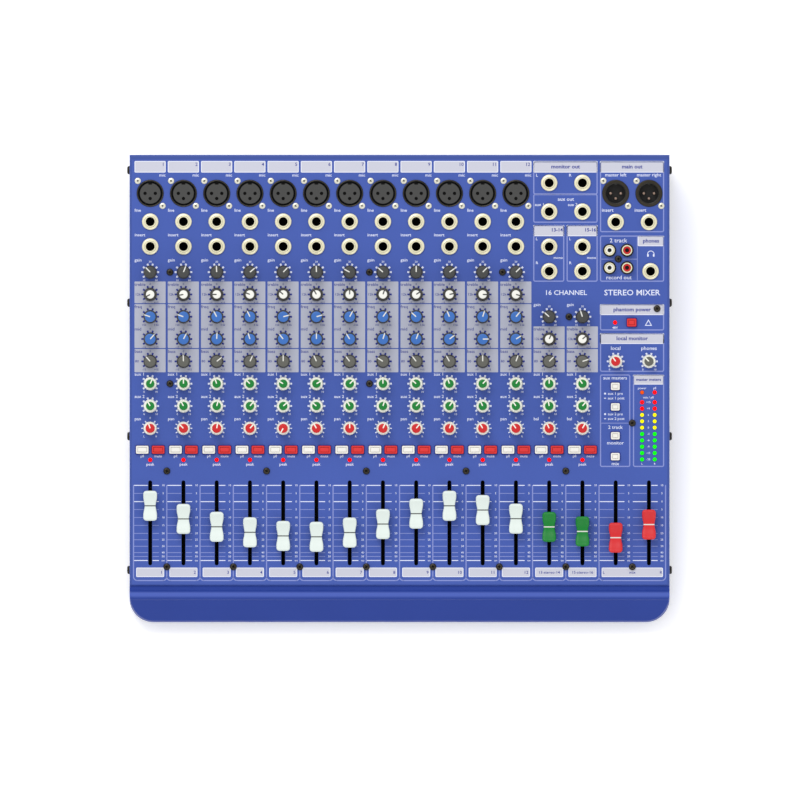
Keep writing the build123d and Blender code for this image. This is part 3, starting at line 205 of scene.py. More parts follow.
class Nodes:
    """Short calls for building one material's node tree."""

    def __init__(self, name):
        self.material = bpy.data.materials.new(name)
        self.material.use_nodes = True
        self.tree = self.material.node_tree
        self.shader = self.tree.nodes["Principled BSDF"]
        self.coordinates = self.tree.nodes.new("ShaderNodeTexCoord").outputs["Object"]

    @classmethod
    def reopen(cls, material):
        made = cls.__new__(cls)
        made.material, made.tree = material, material.node_tree
        made.shader = made.tree.nodes["Principled BSDF"]
        made.coordinates = made.tree.nodes["Texture Coordinate"].outputs["Object"]
        return made

    def add(self, kind, **settings):
        node = self.tree.nodes.new(kind)
        for key, value in settings.items():
            setattr(node, key, value)
        return node

    def link(self, source, target):
        self.tree.links.new(source, target)

    @staticmethod
    def fix(node, **values):
        """Sets input sockets, each named with underscores for its spaces."""
        for key, value in values.items():
            node.inputs[key.replace("_", " ")].default_value = value

    def feed(self, output, *sockets):
        """Links an output to sockets of the shader."""
        for socket in sockets:
            self.link(output, self.shader.inputs[socket])

    def noise(self, scale, detail=2.0, stretch=None):
        node = self.add("ShaderNodeTexNoise")
        self.fix(node, Scale=scale, Detail=detail)
        place = self.coordinates
        if stretch:
            mapping = self.add("ShaderNodeMapping")
            self.fix(mapping, Scale=stretch)
            self.link(place, mapping.inputs["Vector"])
            place = mapping.outputs["Vector"]
        self.link(place, node.inputs["Vector"])
        return node.outputs["Fac"]

    def remap(self, value, low, high, to_low=0.0, to_high=1.0):
        node = self.add("ShaderNodeMapRange")
        self.fix(node, From_Min=low, From_Max=high, To_Min=to_low, To_Max=to_high)
        self.link(value, node.inputs["Value"])
        return node.outputs["Result"]

    def mix(self, factor, first, second):
        node = self.add("ShaderNodeMix", data_type="RGBA")
        self.link(factor, node.inputs["Factor"])
        for socket, colour in ((node.inputs[6], first), (node.inputs[7], second)):
            if isinstance(colour, tuple):
                socket.default_value = colour
            else:
                self.link(colour, socket)
        return node.outputs[2]

    def dot(self, first, second):
        """The dot product of an output with another output or with a fixed direction."""
        node = self.add("ShaderNodeVectorMath", operation="DOT_PRODUCT")
        self.link(first, node.inputs[0])
        if isinstance(second, Vector):
            node.inputs[1].default_value = second
        else:
            self.link(second, node.inputs[1])
        return node.outputs["Value"]

    def joined(self, operation, first, second=None):
        node = self.add("ShaderNodeMath", operation=operation)
        self.link(first, node.inputs[0])
        if second:
            self.link(second, node.inputs[1])
        return node.outputs["Value"]

    def tint(self, factor, colour):
        """Lays a colour over the base colour that the shader already has."""
        base = self.shader.inputs["Base Color"]
        self.link(self.mix(factor, base.links[0].from_socket, colour), base)

    def edges(self, radius):
        """How far a point is from flat, from 0 on a face to 1 on a sharp edge."""
        bevel = self.add("ShaderNodeBevel", samples=4)
        self.fix(bevel, Radius=radius)
        normal = self.add("ShaderNodeNewGeometry").outputs["Normal"]
        return self.remap(self.dot(bevel.outputs["Normal"], normal), 1.0, SHARP_EDGE)

    def bump(self, height, strength, distance):
        node = self.add("ShaderNodeBump")
        self.fix(node, Strength=strength, Distance=distance)
        self.link(height, node.inputs["Height"])
        self.link(node.outputs["Normal"], self.shader.inputs["Normal"])


SHARP_EDGE = 0.86  # how alike rounded and true normals are where an edge counts as sharp
CLOUD_SCALE = 23.0  # of the slow colour variation
WEAR_SCALE = 160.0  # of the patches of worn edge
COAT_ROUGHNESS = 0.12
ROUGHNESS_SPREAD = 0.06


def finish(
    name,
    screen,
    roughness,
    metallic=0.0,
    mottle=0.05,
    grain=(1400.0, 0.25, 0.00004),
    edge=None,
    specular=0.25,
    coat=0.0,
    brushed=None,
):
    """A material with slow colour variation, fine grain in its bump and roughness, and lighter worn edges."""
    made = Nodes(name)
    colour = linear(*screen)
    made.fix(made.shader, Metallic=metallic, Specular_IOR_Level=specular)
    made.fix(made.shader, Coat_Weight=coat, Coat_Roughness=COAT_ROUGHNESS)
    slow = made.noise(CLOUD_SCALE, 3.0)
    fine = made.noise(grain[0], 2.0, brushed)
    base = made.mix(made.remap(slow, 0.3, 0.7), scaled(colour, 1 - mottle), scaled(colour, 1 + mottle))
    speck = made.remap(fine, 0.2, 0.8, 0.0, 0.35)
    base = made.mix(speck, base, scaled(colour, 1 - 2 * mottle))
    if edge:
        radius, wear_colour, amount = edge
        patch = made.remap(made.noise(WEAR_SCALE, 3.0), 0.35, 0.7, 0.0, amount)
        worn = made.joined("MULTIPLY", made.edges(radius), patch)
        base = made.mix(worn, base, scaled(linear(*wear_colour), 1.0))
    made.feed(base, "Base Color")
    rough = made.remap(fine, 0.25, 0.75, roughness - ROUGHNESS_SPREAD, roughness + ROUGHNESS_SPREAD)
    made.feed(rough, "Roughness")
    made.bump(fine, *grain[1:])
    return made.material


def glowing_material(name, colour, strength):
    """A translucent lamp dome, brightest at its middle."""
    made = Nodes(name)
    made.fix(made.shader, Roughness=0.25, Specular_IOR_Level=0.1, Emission_Strength=strength)
    facing = made.add("ShaderNodeLayerWeight")
    made.fix(facing, Blend=0.35)
    hot = made.mix(facing.outputs["Facing"], scaled(colour, 1.0), scaled(colour, 0.45))
    speck = made.mix(made.remap(made.noise(900.0), 0.3, 0.7, 0.0, 0.3), hot, scaled(colour, 0.7))
    made.feed(speck, "Base Color", "Emission Color")
    made.bump(made.noise(500.0), 0.2, 0.00005)
    return made.material


def moulded(name, red, green, blue, roughness, **settings):
    """A fine-grained moulded plastic of one screen colour."""
    return finish(name, (red, green, blue), roughness, grain=MOULDED, **settings)


def ink(name, red, green, blue, mottle, roughness=0.55):
    """Screen-printed ink of one screen colour."""
    return finish(name, (red, green, blue), roughness, grain=INK, mottle=mottle)


PANEL_BLUE = (61, 84, 162)
STEEL = (150, 152, 158)
# A grain is the scale of its noise, the strength of its bump and the bump's height in metres. An edge is the
# radius in metres within which it shows, its colour and how much of it is worn.
POWDER = (1100.0, 0.35, 0.00006)
MOULDED = (1800.0, 0.2, 0.00003)
INK = (2500.0, 0.15, 0.00001)

panel_paint_with_fold_shade = finish(
    "panel_paint_with_fold_shade", PANEL_BLUE, 0.5, grain=POWDER, mottle=0.035, edge=(0.0009, (88, 108, 180), 0.35)
)
# The nose's blue is darkened as painted shade, for its face that tilts forward away from the light.
nose_paint = moulded(
    "nose_paint", 38, 61, 142, 0.45, mottle=0.03, specular=0.12, edge=(0.0012, (84, 102, 180), 0.3)
)
# The s at which the painted highlight along the nose's crest begins, is full, is still full and ends.
HIGHLIGHT_S = (349.6, 351.2, 353.0, 355.0)
# The paler blue of the painted highlight on the nose's crest.
HIGHLIGHT_BLUE = linear(72, 92, 172)


def add_painted_highlight(material):
    """A paler band along the nose's crest: a painted highlight where the light glints off its curve."""
    made = Nodes.reopen(material)
    start = PANEL_ORIGIN.dot(UPHILL)
    begin, full, still_full, end = [start - s * MM for s in HIGHLIGHT_S]
    place = made.dot(made.coordinates, UPHILL)
    band = made.joined("MULTIPLY", made.remap(place, begin, full), made.remap(place, end, still_full))
    made.tint(band, scaled(HIGHLIGHT_BLUE, 1.0))


# Paints a highlight along the nose's crest.
add_painted_highlight(nose_paint)
FOLD_REAR = (3.2, 4.6)  # s where the painted shade along the rear fold, behind the labels, is full and ends
FOLD_SIDE = (1.1, 2.2)  # the same, inwards from either side of the cover
FOLD_DEPTH = (0.3, 1.2)  # how far down over the folds the painted shade stays full and ends
# How dark the painted shade along the folds makes the panel's blue.
FOLD_SHADE_DARKNESS = 0.76


def add_fold_shade(material):
    """Darker panel blue along the rear and side folds of the panel: painted shade where the surface turns
    down away from the light.
    """
    made = Nodes.reopen(material)

    def near(value, edge, band):
        full, end = [edge - distance * MM for distance in band]
        return made.remap(value, end, full)

    behind = near(made.dot(made.coordinates, UPHILL), PANEL_ORIGIN.dot(UPHILL), FOLD_REAR)
    sideways = made.joined("ABSOLUTE", made.dot(made.coordinates, RIGHT))
    beside = near(sideways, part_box("top_cover")[1][0], FOLD_SIDE)
    level = near(made.dot(made.coordinates, NORMAL), PANEL_ORIGIN.dot(NORMAL), FOLD_DEPTH)
    shade = made.joined("MULTIPLY", made.joined("MAXIMUM", behind, beside), level)
    made.tint(shade, scaled(linear(*PANEL_BLUE), FOLD_SHADE_DARKNESS))


# Paints shade along the panel's rear and side folds.
add_fold_shade(panel_paint_with_fold_shade)
tray_paint = finish(
    "tray_paint", (40, 48, 84), 0.55, grain=POWDER, edge=(0.0009, STEEL, 0.6), specular=0.35
)
label_ink = ink("label_ink", 189, 190, 203, 0.01)
label_edge_ink = ink("label_edge_ink", 222, 224, 234, 0.01)
equaliser_ink = ink("equaliser_ink", 172, 175, 191, 0.015)
white_ink = ink("white_ink", 214, 219, 240, 0.02, 0.5)
frame_ink = ink("frame_ink", 126, 137, 196, 0.02, 0.5)
# This blue ink also paints the shade rings round the buttons.
blue_ink_and_gap_shade = ink("blue_ink_and_gap_shade", 36, 50, 138, 0.03, 0.5)

FINE_METAL = (1200.0, 0.3, 0.00004)
COARSE = (700.0, 0.3, 0.00004)
black_steel = finish(
    "black_steel", (46, 42, 36), 0.38, 0.6, grain=(900.0, 0.3, 0.00005), edge=(0.0004, (120, 112, 96), 0.5)
)
nickel = finish(
    "nickel", (226, 224, 208), 0.3, 0.7, grain=(1500.0, 0.3, 0.00003), brushed=(1.0, 1.0, 12.0)
)
ivory_nickel = finish(
    "ivory_nickel", (228, 222, 190), 0.34, 0.3, grain=(1300.0, 0.35, 0.00004),
    edge=(0.0003, (180, 172, 130), 0.5), coat=0.3,
)
socket_black = moulded("socket_black", 16, 15, 13, 0.4, specular=0.4)
socket_shell = finish(
    "socket_shell", (50, 46, 38), 0.36, 0.5, grain=FINE_METAL, edge=(0.0003, (120, 112, 92), 0.6)
)
insert_grey = moulded("insert_grey", 58, 58, 57, 0.5, specular=0.35)
gold_pin = finish("gold_pin", (158, 134, 120), 0.28, 0.8, grain=(2500.0, 0.2, 0.00001))
hole_black = moulded("hole_black", 7, 7, 7, 0.7, specular=0.1)
board_green = finish("board_green", (22, 92, 48), 0.35, grain=COARSE, coat=0.3)
supply_grey = finish("supply_grey", (70, 72, 66), 0.5, 0.3, grain=COARSE)
pot_grey = finish("pot_grey", (120, 120, 118), 0.4, 0.6, grain=(900.0, 0.3, 0.00004))
rubber = finish("rubber", (30, 30, 31), 0.85, grain=(900.0, 0.5, 0.00008))

dark_body = moulded("dark_body", 52, 50, 44, 0.42, edge=(0.0003, (104, 100, 90), 0.4), specular=0.4)
cream_body = moulded("cream_body", 234, 235, 222, 0.4, edge=(0.0003, (246, 246, 238), 0.4), specular=0.4)
cap_grey = moulded("cap_grey", 92, 92, 86, 0.45)
cap_dark = moulded("cap_dark", 64, 65, 64, 0.45)
cap_white = moulded("cap_white", 228, 228, 221, 0.35)
cap_blue = moulded("cap_blue", 56, 104, 176, 0.35)
cap_green = moulded("cap_green", 18, 119, 47, 0.35)
cap_red = moulded("cap_red", 194, 36, 38, 0.35)
pointer_white = moulded("pointer_white", 212, 212, 206, 0.4, mottle=0.02)
pointer_dark = moulded("pointer_dark", 70, 70, 68, 0.4)

button_white = moulded("button_white", 228, 226, 220, 0.35)
button_red = moulded("button_red", 208, 48, 48, 0.35)
fader_white = moulded("fader_white", 212, 222, 217, 0.36, mottle=0.015)
fader_green = moulded("fader_green", 10, 122, 44, 0.36)
fader_red = moulded("fader_red", 204, 40, 44, 0.36)
line_dark = moulded("line_dark", 86, 90, 88, 0.5)

LAMP_STRENGTH = 2.0
lamp_red = glowing_material("lamp_red", (1.0, 0.0003, 0.0), LAMP_STRENGTH)
lamp_amber = glowing_material("lamp_amber", (0.3, 0.03, 0.0), 1.3 * LAMP_STRENGTH)
lamp_yellow = glowing_material("lamp_yellow", (0.9, 0.85, 0.0), 0.3 * LAMP_STRENGTH)
lamp_green = glowing_material("lamp_green", (0.002, 0.9, 0.0), 0.45 * LAMP_STRENGTH)

# --- shapes ---


class Shape:
    """A mesh under construction in its own millimetres: corners, faces, and each face's material number."""

    def __init__(self):
        self.corners = []
        self.faces = []
        self.slots = []

    def take(self, other, matrix=None):
        base = len(self.corners)
        self.corners += [matrix @ corner for corner in other.corners] if matrix else other.corners
        self.faces += [[base + i for i in face] for face in other.faces]
        self.slots += other.slots
        return self

    def stack(self, rings, slot=0, closed=True):
        """Joins rings of (x, y, z) corners, all of one length, into a skin, and fills its ends if closed."""
        base, count = len(self.corners), len(rings[0])
        for ring in rings:
            self.corners += [Vector(corner) for corner in ring]
        for level in range(len(rings) - 1):
            low = base + level * count
            for i in range(count):
                j = (i + 1) % count
                self.faces.append([low + i, low + j, low + count + j, low + count + i])
                self.slots.append(slot)
        if closed:
            top = base + (len(rings) - 1) * count
            self.faces += [[base + i for i in reversed(range(count))], [top + i for i in range(count)]]
            self.slots += [slot, slot]
        return self


def circle(radius, count=40):
    return [(radius * cos(2 * pi * i / count), radius * sin(2 * pi * i / count)) for i in range(count)]


def rounded_rectangle(width, height, corner, steps=4):
    points = []
    corners = ((1, 1, 0), (-1, 1, 90), (-1, -1, 180), (1, -1, 270))
    for side_x, side_y, start in corners:
        centre = (side_x * (width / 2 - corner), side_y * (height / 2 - corner))
        for step in range(steps + 1):
            angle = radians(start + 90 * step / steps)
            points.append((centre[0] + corner * cos(angle), centre[1] + corner * sin(angle)))
    return points


def at_level(points, z):
    return [(x, y, z) for x, y in points]


def lathe(profile, slot=0, count=40):
    """A turned shape; its profile runs as (radius, z) from its lower end to its upper end."""
    return Shape().stack([at_level(circle(max(r, 0.001), count), z) for r, z in profile], slot)


def ring_lathe(profile, slot=0, count=40):
    """A turned ring; its profile is a closed loop of (radius, z)."""
    loops = [at_level(circle(r, count), z) for r, z in [*profile, profile[0]]]
    shape = Shape()
    for lower, upper in zip(loops, loops[1:]):
        shape.stack([lower, upper], slot, closed=False)
    return shape


def turned(*profiles, count=40):
    """Turned rings, the first in slot 0 and the next in slot 1 and so on."""
    shape = Shape()
    for slot, profile in enumerate(profiles):
        shape.take(ring_lathe(profile, slot, count))
    return shape


def soft_block(width, depth, low, high, corner, edge, slot=0):
    """A block with rounded upright corners and a rounded top edge."""
    rings = [at_level(rounded_rectangle(width, depth, corner), low)]
    for step in range(4):
        angle = radians(30 * step)
        inset = edge * (1 - cos(angle))
        outline = rounded_rectangle(width - 2 * inset, depth - 2 * inset, max(corner - inset, 0.05))
        rings.append(at_level(outline, high - edge * (1 - sin(angle))))
    return Shape().stack(rings, slot)


def from_curve(data):
    """The mesh of a curve or text, as a Shape, and the curve removed."""
    holder = add_object("outline", data)
    mesh = bpy.data.meshes.new_from_object(holder.evaluated_get(bpy.context.evaluated_depsgraph_get()))
    shape = Shape()
    shape.corners = [vertex.co.copy() for vertex in mesh.vertices]
    shape.faces = [list(polygon.vertices) for polygon in mesh.polygons]
    shape.slots = [0] * len(shape.faces)
    bpy.data.objects.remove(holder)
    bpy.data.meshes.remove(mesh)
    return shape


def plate(outlines, low, high, slot=0):
    """A flat plate between two levels, with an outline inside another as a hole."""
    data = bpy.data.curves.new("plate", "CURVE")
    data.dimensions = "2D"
    data.fill_mode = "BOTH"
    data.extrude = (high - low) / 2
    for outline in outlines:
        spline = data.splines.new("POLY")
        spline.points.add(len(outline) - 1)
        for point, (x, y) in zip(spline.points, outline):
            point.co = (x, y, 0, 1)
        spline.use_cyclic_u = True
    shape = from_curve(data)
    bpy.data.curves.remove(data)
    shape.corners = [corner + Vector((0, 0, (low + high) / 2)) for corner in shape.corners]
    shape.slots = [slot] * len(shape.faces)
    return shape


INK_TOP = 0.05
LETTER_HEIGHT = 1.28  # the font's height for a letter size of 1
LETTER_WIDTH = 1.06  # how much wider than the font's own letters
SHARP_ANGLE = 32  # degrees between faces from which their shared edge isn't shaded smooth
written = {}


def lettering(text, size, align, weight):
    """Flat generic lettering on the panel's face, starting, centred or ending at its own origin."""
    key = (text, size, align, weight)
    if key not in written:
        data = bpy.data.curves.new("lettering", "FONT")
        data.body = text
        data.size = LETTER_HEIGHT * size
        data.align_x = align
        data.align_y = "CENTER"
        data.resolution_u = 2
        data.extrude = INK_TOP / 4
        data.offset = weight * size
        shape = from_curve(data)
        bpy.data.curves.remove(data)
        stretch = Matrix.Diagonal((LETTER_WIDTH, 1, 1, 1))
        shape.corners = [stretch @ corner for corner in shape.corners]
        written[key] = shape
    return written[key]


def move(x, y, z=0.0, turn=0.0):
    return Matrix.Translation((x, y, z)) @ Matrix.Rotation(radians(-turn), 4, "Z")


def make_piece(name, parts, materials, replaces=(), body="console"):
    """One object of (shape, matrix) parts that rides on a CAD body and may stand for CAD nodes."""
    whole = Shape()
    for shape, matrix in parts:
        whole.take(shape, matrix)
    mesh = bpy.data.meshes.new(name)
    mesh.from_pydata(whole.corners, [], whole.faces)
    for material in materials:
        mesh.materials.append(material)
    mesh.polygons.foreach_set("material_index", whole.slots)
    mesh.update()
    work = bmesh.new()
    work.from_mesh(mesh)
    bmesh.ops.recalc_face_normals(work, faces=work.faces)
    work.to_mesh(mesh)
    work.free()
    mesh.polygons.foreach_set("use_smooth", [True] * len(mesh.polygons))
    mesh.set_sharp_from_angle(angle=radians(SHARP_ANGLE))
    piece = add_object(name, mesh)
    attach(piece, body)
    if replaces:
        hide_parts(*replaces)


def spread(name, shape, places, materials, node, body="console"):
    """Copies of one shape on the panel, each at its (x, s) or (x, s, turn)."""
    parts = [(shape, on_panel(x, s, 0, *turn)) for x, s, *turn in places]
    make_piece(name, parts, materials, [node], body)


# --- knobs ---

KNOB_RADIUS = 5.4
KNOB_BOTTOM = 0.9
KNOB_SHOULDER = 10.4
KNOB_TOP = 12.6
FLUTES = 12
POINTER_WIDTH = 0.95
# The body's rings: inset from its radius, depth of its flutes, and height from its foot or its shoulder.
FOOT_RINGS = ((1.2, 0, 0.5), (1.0, 0, 0), (0, 0, 0.1), (0, 0, 1.2), (0.1, 0.05, 1.5), (0.15, 0.42, 2.2))
SHOULDER_RINGS = ((0.35, 0.42, -1.0), (0.5, 0.34, -0.45), (0.85, 0.16, -0.1), (1.2, 0, 0))
# The cap's rings: inset from its radius, and depth below its top.
CAP_RINGS = ((0.02, 0.7), (0.12, 0.4), (0.4, 0.18), (0.9, 0.08), (2.2, 0.02))


def knob_shape(cap_radius):
    """A fluted body in slot 0, a domed cap in slot 1 and a pointer up the slope in slot 2."""
    count = FLUTES * 6

    def fluted(radius, depth, z):
        ring = []
        for i in range(count):
            angle = 2 * pi * i / count
            r = radius - depth * (0.5 - 0.5 * cos(FLUTES * angle)) ** 2
            ring.append((r * sin(angle), r * cos(angle), z))
        return ring

    rings = [fluted(KNOB_RADIUS - inset, depth, KNOB_BOTTOM + z) for inset, depth, z in FOOT_RINGS]
    rings += [fluted(KNOB_RADIUS - inset, depth, KNOB_SHOULDER + z) for inset, depth, z in SHOULDER_RINGS]
    shape = Shape().stack([*rings, fluted(cap_radius, 0, KNOB_SHOULDER)])
    cap = [(cap_radius - CAP_RINGS[0][0], KNOB_SHOULDER - 0.3)]
    cap += [(cap_radius - inset, KNOB_TOP - drop) for inset, drop in CAP_RINGS]
    shape.take(lathe([*cap, (0.4, KNOB_TOP)], slot=1, count=48))
    pointer = soft_block(POINTER_WIDTH, cap_radius + 0.1, KNOB_TOP - 0.4, KNOB_TOP + 0.16, 0.3, 0.12, slot=2)
    shape.take(pointer, move(0, cap_radius / 2 + 0.1))
    reach = KNOB_RADIUS - cap_radius - 0.25
    edge_line = soft_block(POINTER_WIDTH, reach, KNOB_SHOULDER - 2.4, KNOB_SHOULDER + 0.14, 0.15, 0.1, slot=2)
    return shape.take(edge_line, move(0, cap_radius + reach / 2 - 0.02))


blue_knob = knob_shape(4.3)
wide_knob = knob_shape(4.4)
small_knob = knob_shape(3.4)
red_knob = knob_shape(3.7)

KNOB_FINISHES = {
    GAIN: (wide_knob, [dark_body, cap_dark, pointer_white]),
    TREBLE: (small_knob, [dark_body, cap_white, pointer_dark]),
    MID_FREQ: (blue_knob, [dark_body, cap_blue, pointer_white]),
    MID: (blue_knob, [dark_body, cap_blue, pointer_white]),
    BASS: (wide_knob, [dark_body, cap_grey, pointer_white]),
    AUX_1: (small_knob, [cream_body, cap_green, cream_body]),
    AUX_2: (small_knob, [cream_body, cap_green, cream_body]),
    PAN: (red_knob, [cream_body, cap_red, cream_body]),
}
KNOB_NODES = {
    "dark_knobs": (GAIN, BASS),
    "white_knobs": (TREBLE,),
    "blue_knobs": (MID_FREQ, MID),
    "green_knobs": (AUX_1, AUX_2),
    "red_knobs": (PAN,),
}
for node, kinds in KNOB_NODES.items():
    for kind in kinds:
        shape, materials = KNOB_FINISHES[kind]
        spread(f"{KNOB_NAMES[kind]}_knob_set", shape, knob_places(kind)[1:], materials, node)


def single_knob(node, place, shape, materials):
    """A turning knob's finished body, on the body that turns."""
    spread(f"{node}_finish", shape, [place], materials, node, node)


for kind, name in enumerate(KNOB_NAMES):
    single_knob(f"{name}_knob_1", knob_places(kind)[0], *KNOB_FINISHES[kind])
single_knob("local_knob", LOCAL_PLACE, red_knob, [cream_body, cap_red, cream_body])
single_knob("phones_knob", PHONES_PLACE, red_knob, [cream_body, cap_grey, cream_body])

# --- fader caps ---

CAP_LENGTH = 24.0
CAP_HALF_END = 5.4
CAP_HALF_WAIST = 4.35
CAP_BOTTOM = 2.1
CAP_END_TOP = 10.9
CAP_MIDDLE_TOP = 7.7
CAP_EDGE = 0.9
CAP_STEPS = 36
# Along the cap, from 0 at its middle to 1 at its end.
SCOOP_END = 0.86
FLARE_END = 0.62
ROUNDING_START = 0.78
ROUNDING_LENGTH = 0.22
SCOOP_POWER = 1.8
ROUNDING_IN = 2.5
ROUNDING_DOWN = 1.4


def fader_shape():
    """A scooped, waisted cap in slot 0 with a line across its middle in slot 1 and its lever in slot 2."""

    def section(u):
        """Cross-section at u, from -1 to 1 along the cap, as (x, z) from one lower edge over to the other."""
        end = min(1.0, max(0.0, (abs(u) - ROUNDING_START) / ROUNDING_LENGTH))
        shrink = 1 - sqrt(max(0.0, 1 - end * end))
        scoop = min(1.0, abs(u) / SCOOP_END)
        flare = 0.5 - 0.5 * cos(pi * min(1.0, abs(u) / FLARE_END))
        half = CAP_HALF_WAIST + (CAP_HALF_END - CAP_HALF_WAIST) * flare - ROUNDING_IN * shrink
        top = CAP_MIDDLE_TOP + (CAP_END_TOP - CAP_MIDDLE_TOP) * scoop**SCOOP_POWER - ROUNDING_DOWN * shrink
        points = [(half + 0.15, CAP_BOTTOM), (half + 0.1, CAP_BOTTOM + 2.5), (half, top - CAP_EDGE)]
        for step in range(1, 5):
            angle = radians(22.5 * step)
            points.append((half - CAP_EDGE * (1 - cos(angle)), top - CAP_EDGE * (1 - sin(angle))))
        points += [(half * 0.45, top + 0.02 - 0.12 * (1 - shrink)), (0, top - 0.15 * (1 - shrink))]
        return points + [(-x, z) for x, z in reversed(points[:-1])]

    rings = []
    for i in range(CAP_STEPS + 1):
        u = sin(pi / 2 * (2 * i / CAP_STEPS - 1))
        rings.append([(x, u * CAP_LENGTH / 2, z) for x, z in section(u)])
    shape = Shape().stack(rings, slot=0)
    line = [[(x * 1.012, y, z + 0.06) for x, z in section(0)[1:-1]] for y in (-0.45, 0.45)]
    lower = [[(x * 0.95, y, z - 0.5) for x, y, z in ring] for ring in line]
    shape.stack([line[0], line[1], lower[1], lower[0], line[0]], slot=1, closed=False)
    for end in (0, -1):
        first = [line[0][end], line[1][end], lower[1][end], lower[0][end]]
        base = len(shape.corners)
        shape.corners += [Vector(corner) for corner in first]
        shape.faces.append([base, base + 1, base + 2, base + 3])
        shape.slots.append(1)
    shape.take(soft_block(1.6, 4.0, -6.0, CAP_BOTTOM + 0.4, 0.3, 0.1, slot=2))
    return shape


fader = fader_shape()


def fader_finish(column):
    if column < MONO:
        return [fader_white, line_dark, black_steel]
    if column < STRIPS:
        return [fader_green, pointer_white, black_steel]
    return [fader_red, pointer_white, black_steel]


for column in range(COLUMNS):
    node = f"fader_{column + 1:02d}"
    low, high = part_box(node)
    place = (column_x(column), down_slope((low + high) / 2))
    spread(f"{node}_finish", fader, [place], fader_finish(column), node, node)

# --- push buttons ---

BUTTON_LOW = -3.5
BUTTON_HIGH = 3.3
BUTTON_GROOVE = 0.35


def button_shape(width, depth):
    """A cap with soft edges, and a shallow groove round a raised middle."""
    step, rim_top = BUTTON_HIGH - 0.9, BUTTON_HIGH - 0.25
    shape = soft_block(width, depth, BUTTON_LOW, step, 0.95, 0.1)
    rim = [rounded_rectangle(width, depth, 0.95), rounded_rectangle(width - 2.4, depth - 2.4, 0.4)]
    shape.take(plate(rim, step, rim_top))
    outer = rounded_rectangle(width - 0.5, depth - 0.5, 0.75)
    inner = rounded_rectangle(width - 2.0, depth - 2.0, 0.5)
    shape.take(plate([outer, inner], rim_top, BUTTON_HIGH))
    inset = 2.4 + 2 * BUTTON_GROOVE
    return shape.take(soft_block(width - inset, depth - inset, step, BUTTON_HIGH - 0.05, 0.4, 0.15))


CHANNEL_CAP = (10.0, 6.4)
MASTER_CAP = (7.0, 5.9)
PHANTOM_CAP = (7.5, 6.4)
channel_button = button_shape(*CHANNEL_CAP)
master_button = button_shape(*MASTER_CAP)
phantom_button = button_shape(*PHANTOM_CAP)
pfl_places = [(column_x(c) - BUTTON_OFFSET, BUTTON_ROW) for c in range(STRIPS)]
mute_places = [(column_x(c) + BUTTON_OFFSET, BUTTON_ROW) for c in range(STRIPS)]
spread("pfl_buttons", channel_button, pfl_places[1:], [button_white], "white_buttons")
spread("mute_buttons", channel_button, mute_places[1:], [button_red], "red_buttons")
spread("pfl_1_finish", channel_button, pfl_places[:1], [button_white], "pfl_button_1", "pfl_button_1")
spread("mute_1_finish", channel_button, mute_places[:1], [button_red], "mute_button_1", "mute_button_1")
spread("phantom_finish", phantom_button, [PHANTOM_BUTTON], [button_red], "phantom_button", "phantom_button")
MASTER_BUTTONS = ("aux_1_pre_button", "aux_2_pre_button", "two_track_monitor_button", "two_track_mix_button")
for node, row in zip(MASTER_BUTTONS, MASTER_BUTTON_ROWS):
    spread(f"{node}_finish", master_button, [(MASTER_BUTTON_X, row)], [button_white], node, node)

# --- sockets ---


def jack_shape():
    """A turned nut in slot 0, the bush inside it in slot 1 and the dark lining of the bore in slot 2."""
    nut = [(6.6, 0.02), (6.6, 1.25), (6.35, 1.65), (5.75, 1.95), (5.05, 2.2), (4.72, 2.2), (4.68, 0.02)]
    bush = [(4.62, 0.4), (4.62, 2.35), (4.4, 2.62), (3.95, 2.66), (3.6, 2.45), (3.5, 2.0), (3.5, 0.4)]
    lining = [(3.5, 0.4), (3.46, 1.9), (3.3, 1.7), (3.3, -9.0), (3.5, -9.0)]
    return turned(nut, bush, lining).take(lathe([(3.3, -9.2), (3.3, -9.0)], slot=2))


spread("jack_nut_set", jack_shape(), JACK_PLACES, [ivory_nickel, ivory_nickel, hole_black], "jack_nuts")

CONTACT_STEP = 4.1
CONTACTS = ((-CONTACT_STEP, 0), (CONTACT_STEP, 0), (0, -CONTACT_STEP))


def shifted(outline, x, y):
    return [(px + x, py + y) for px, py in outline]


def mic_shape():
    """Shell in slot 0, dark groove in slot 1, insert with its contact holes in slot 2."""
    shell = [(10.75, -1.0), (10.75, 0.55), (10.6, 0.85), (10.35, 0.95), (10.15, 0.9), (10.1, -1.0)]
    lining = [(10.1, -12.5), (10.1, 0.85), (9.8, 0.7), (9.55, 0.2), (9.5, -0.4), (9.5, -12.5)]
    shape = turned(shell, lining, count=64)
    shape.take(lathe([(9.6, -12.7), (9.6, -12.4)], slot=1, count=48))
    notch = [(x, y) for x, y in circle(8.25, 72) if not (y > 0 and abs(x) < 1.75)]
    split = next(i for i, (x, y) in enumerate(notch) if x < 0 < y)
    outline = notch[:split] + [(1.6, 8.0), (1.35, 7.0), (-1.35, 7.0), (-1.6, 8.0)] + notch[split:]
    holes = [shifted(circle(1.35, 20), x, y) for x, y in CONTACTS]
    shape.take(plate([outline, *holes], -12.4, 0.35, slot=2))
    shape.take(lathe([(8.2, -12.6), (8.2, -8.0)], slot=1, count=48))
    return shape


spread("mic_socket_set", mic_shape(), XLR_PLACES, [socket_shell, socket_black, insert_grey], "mic_sockets")


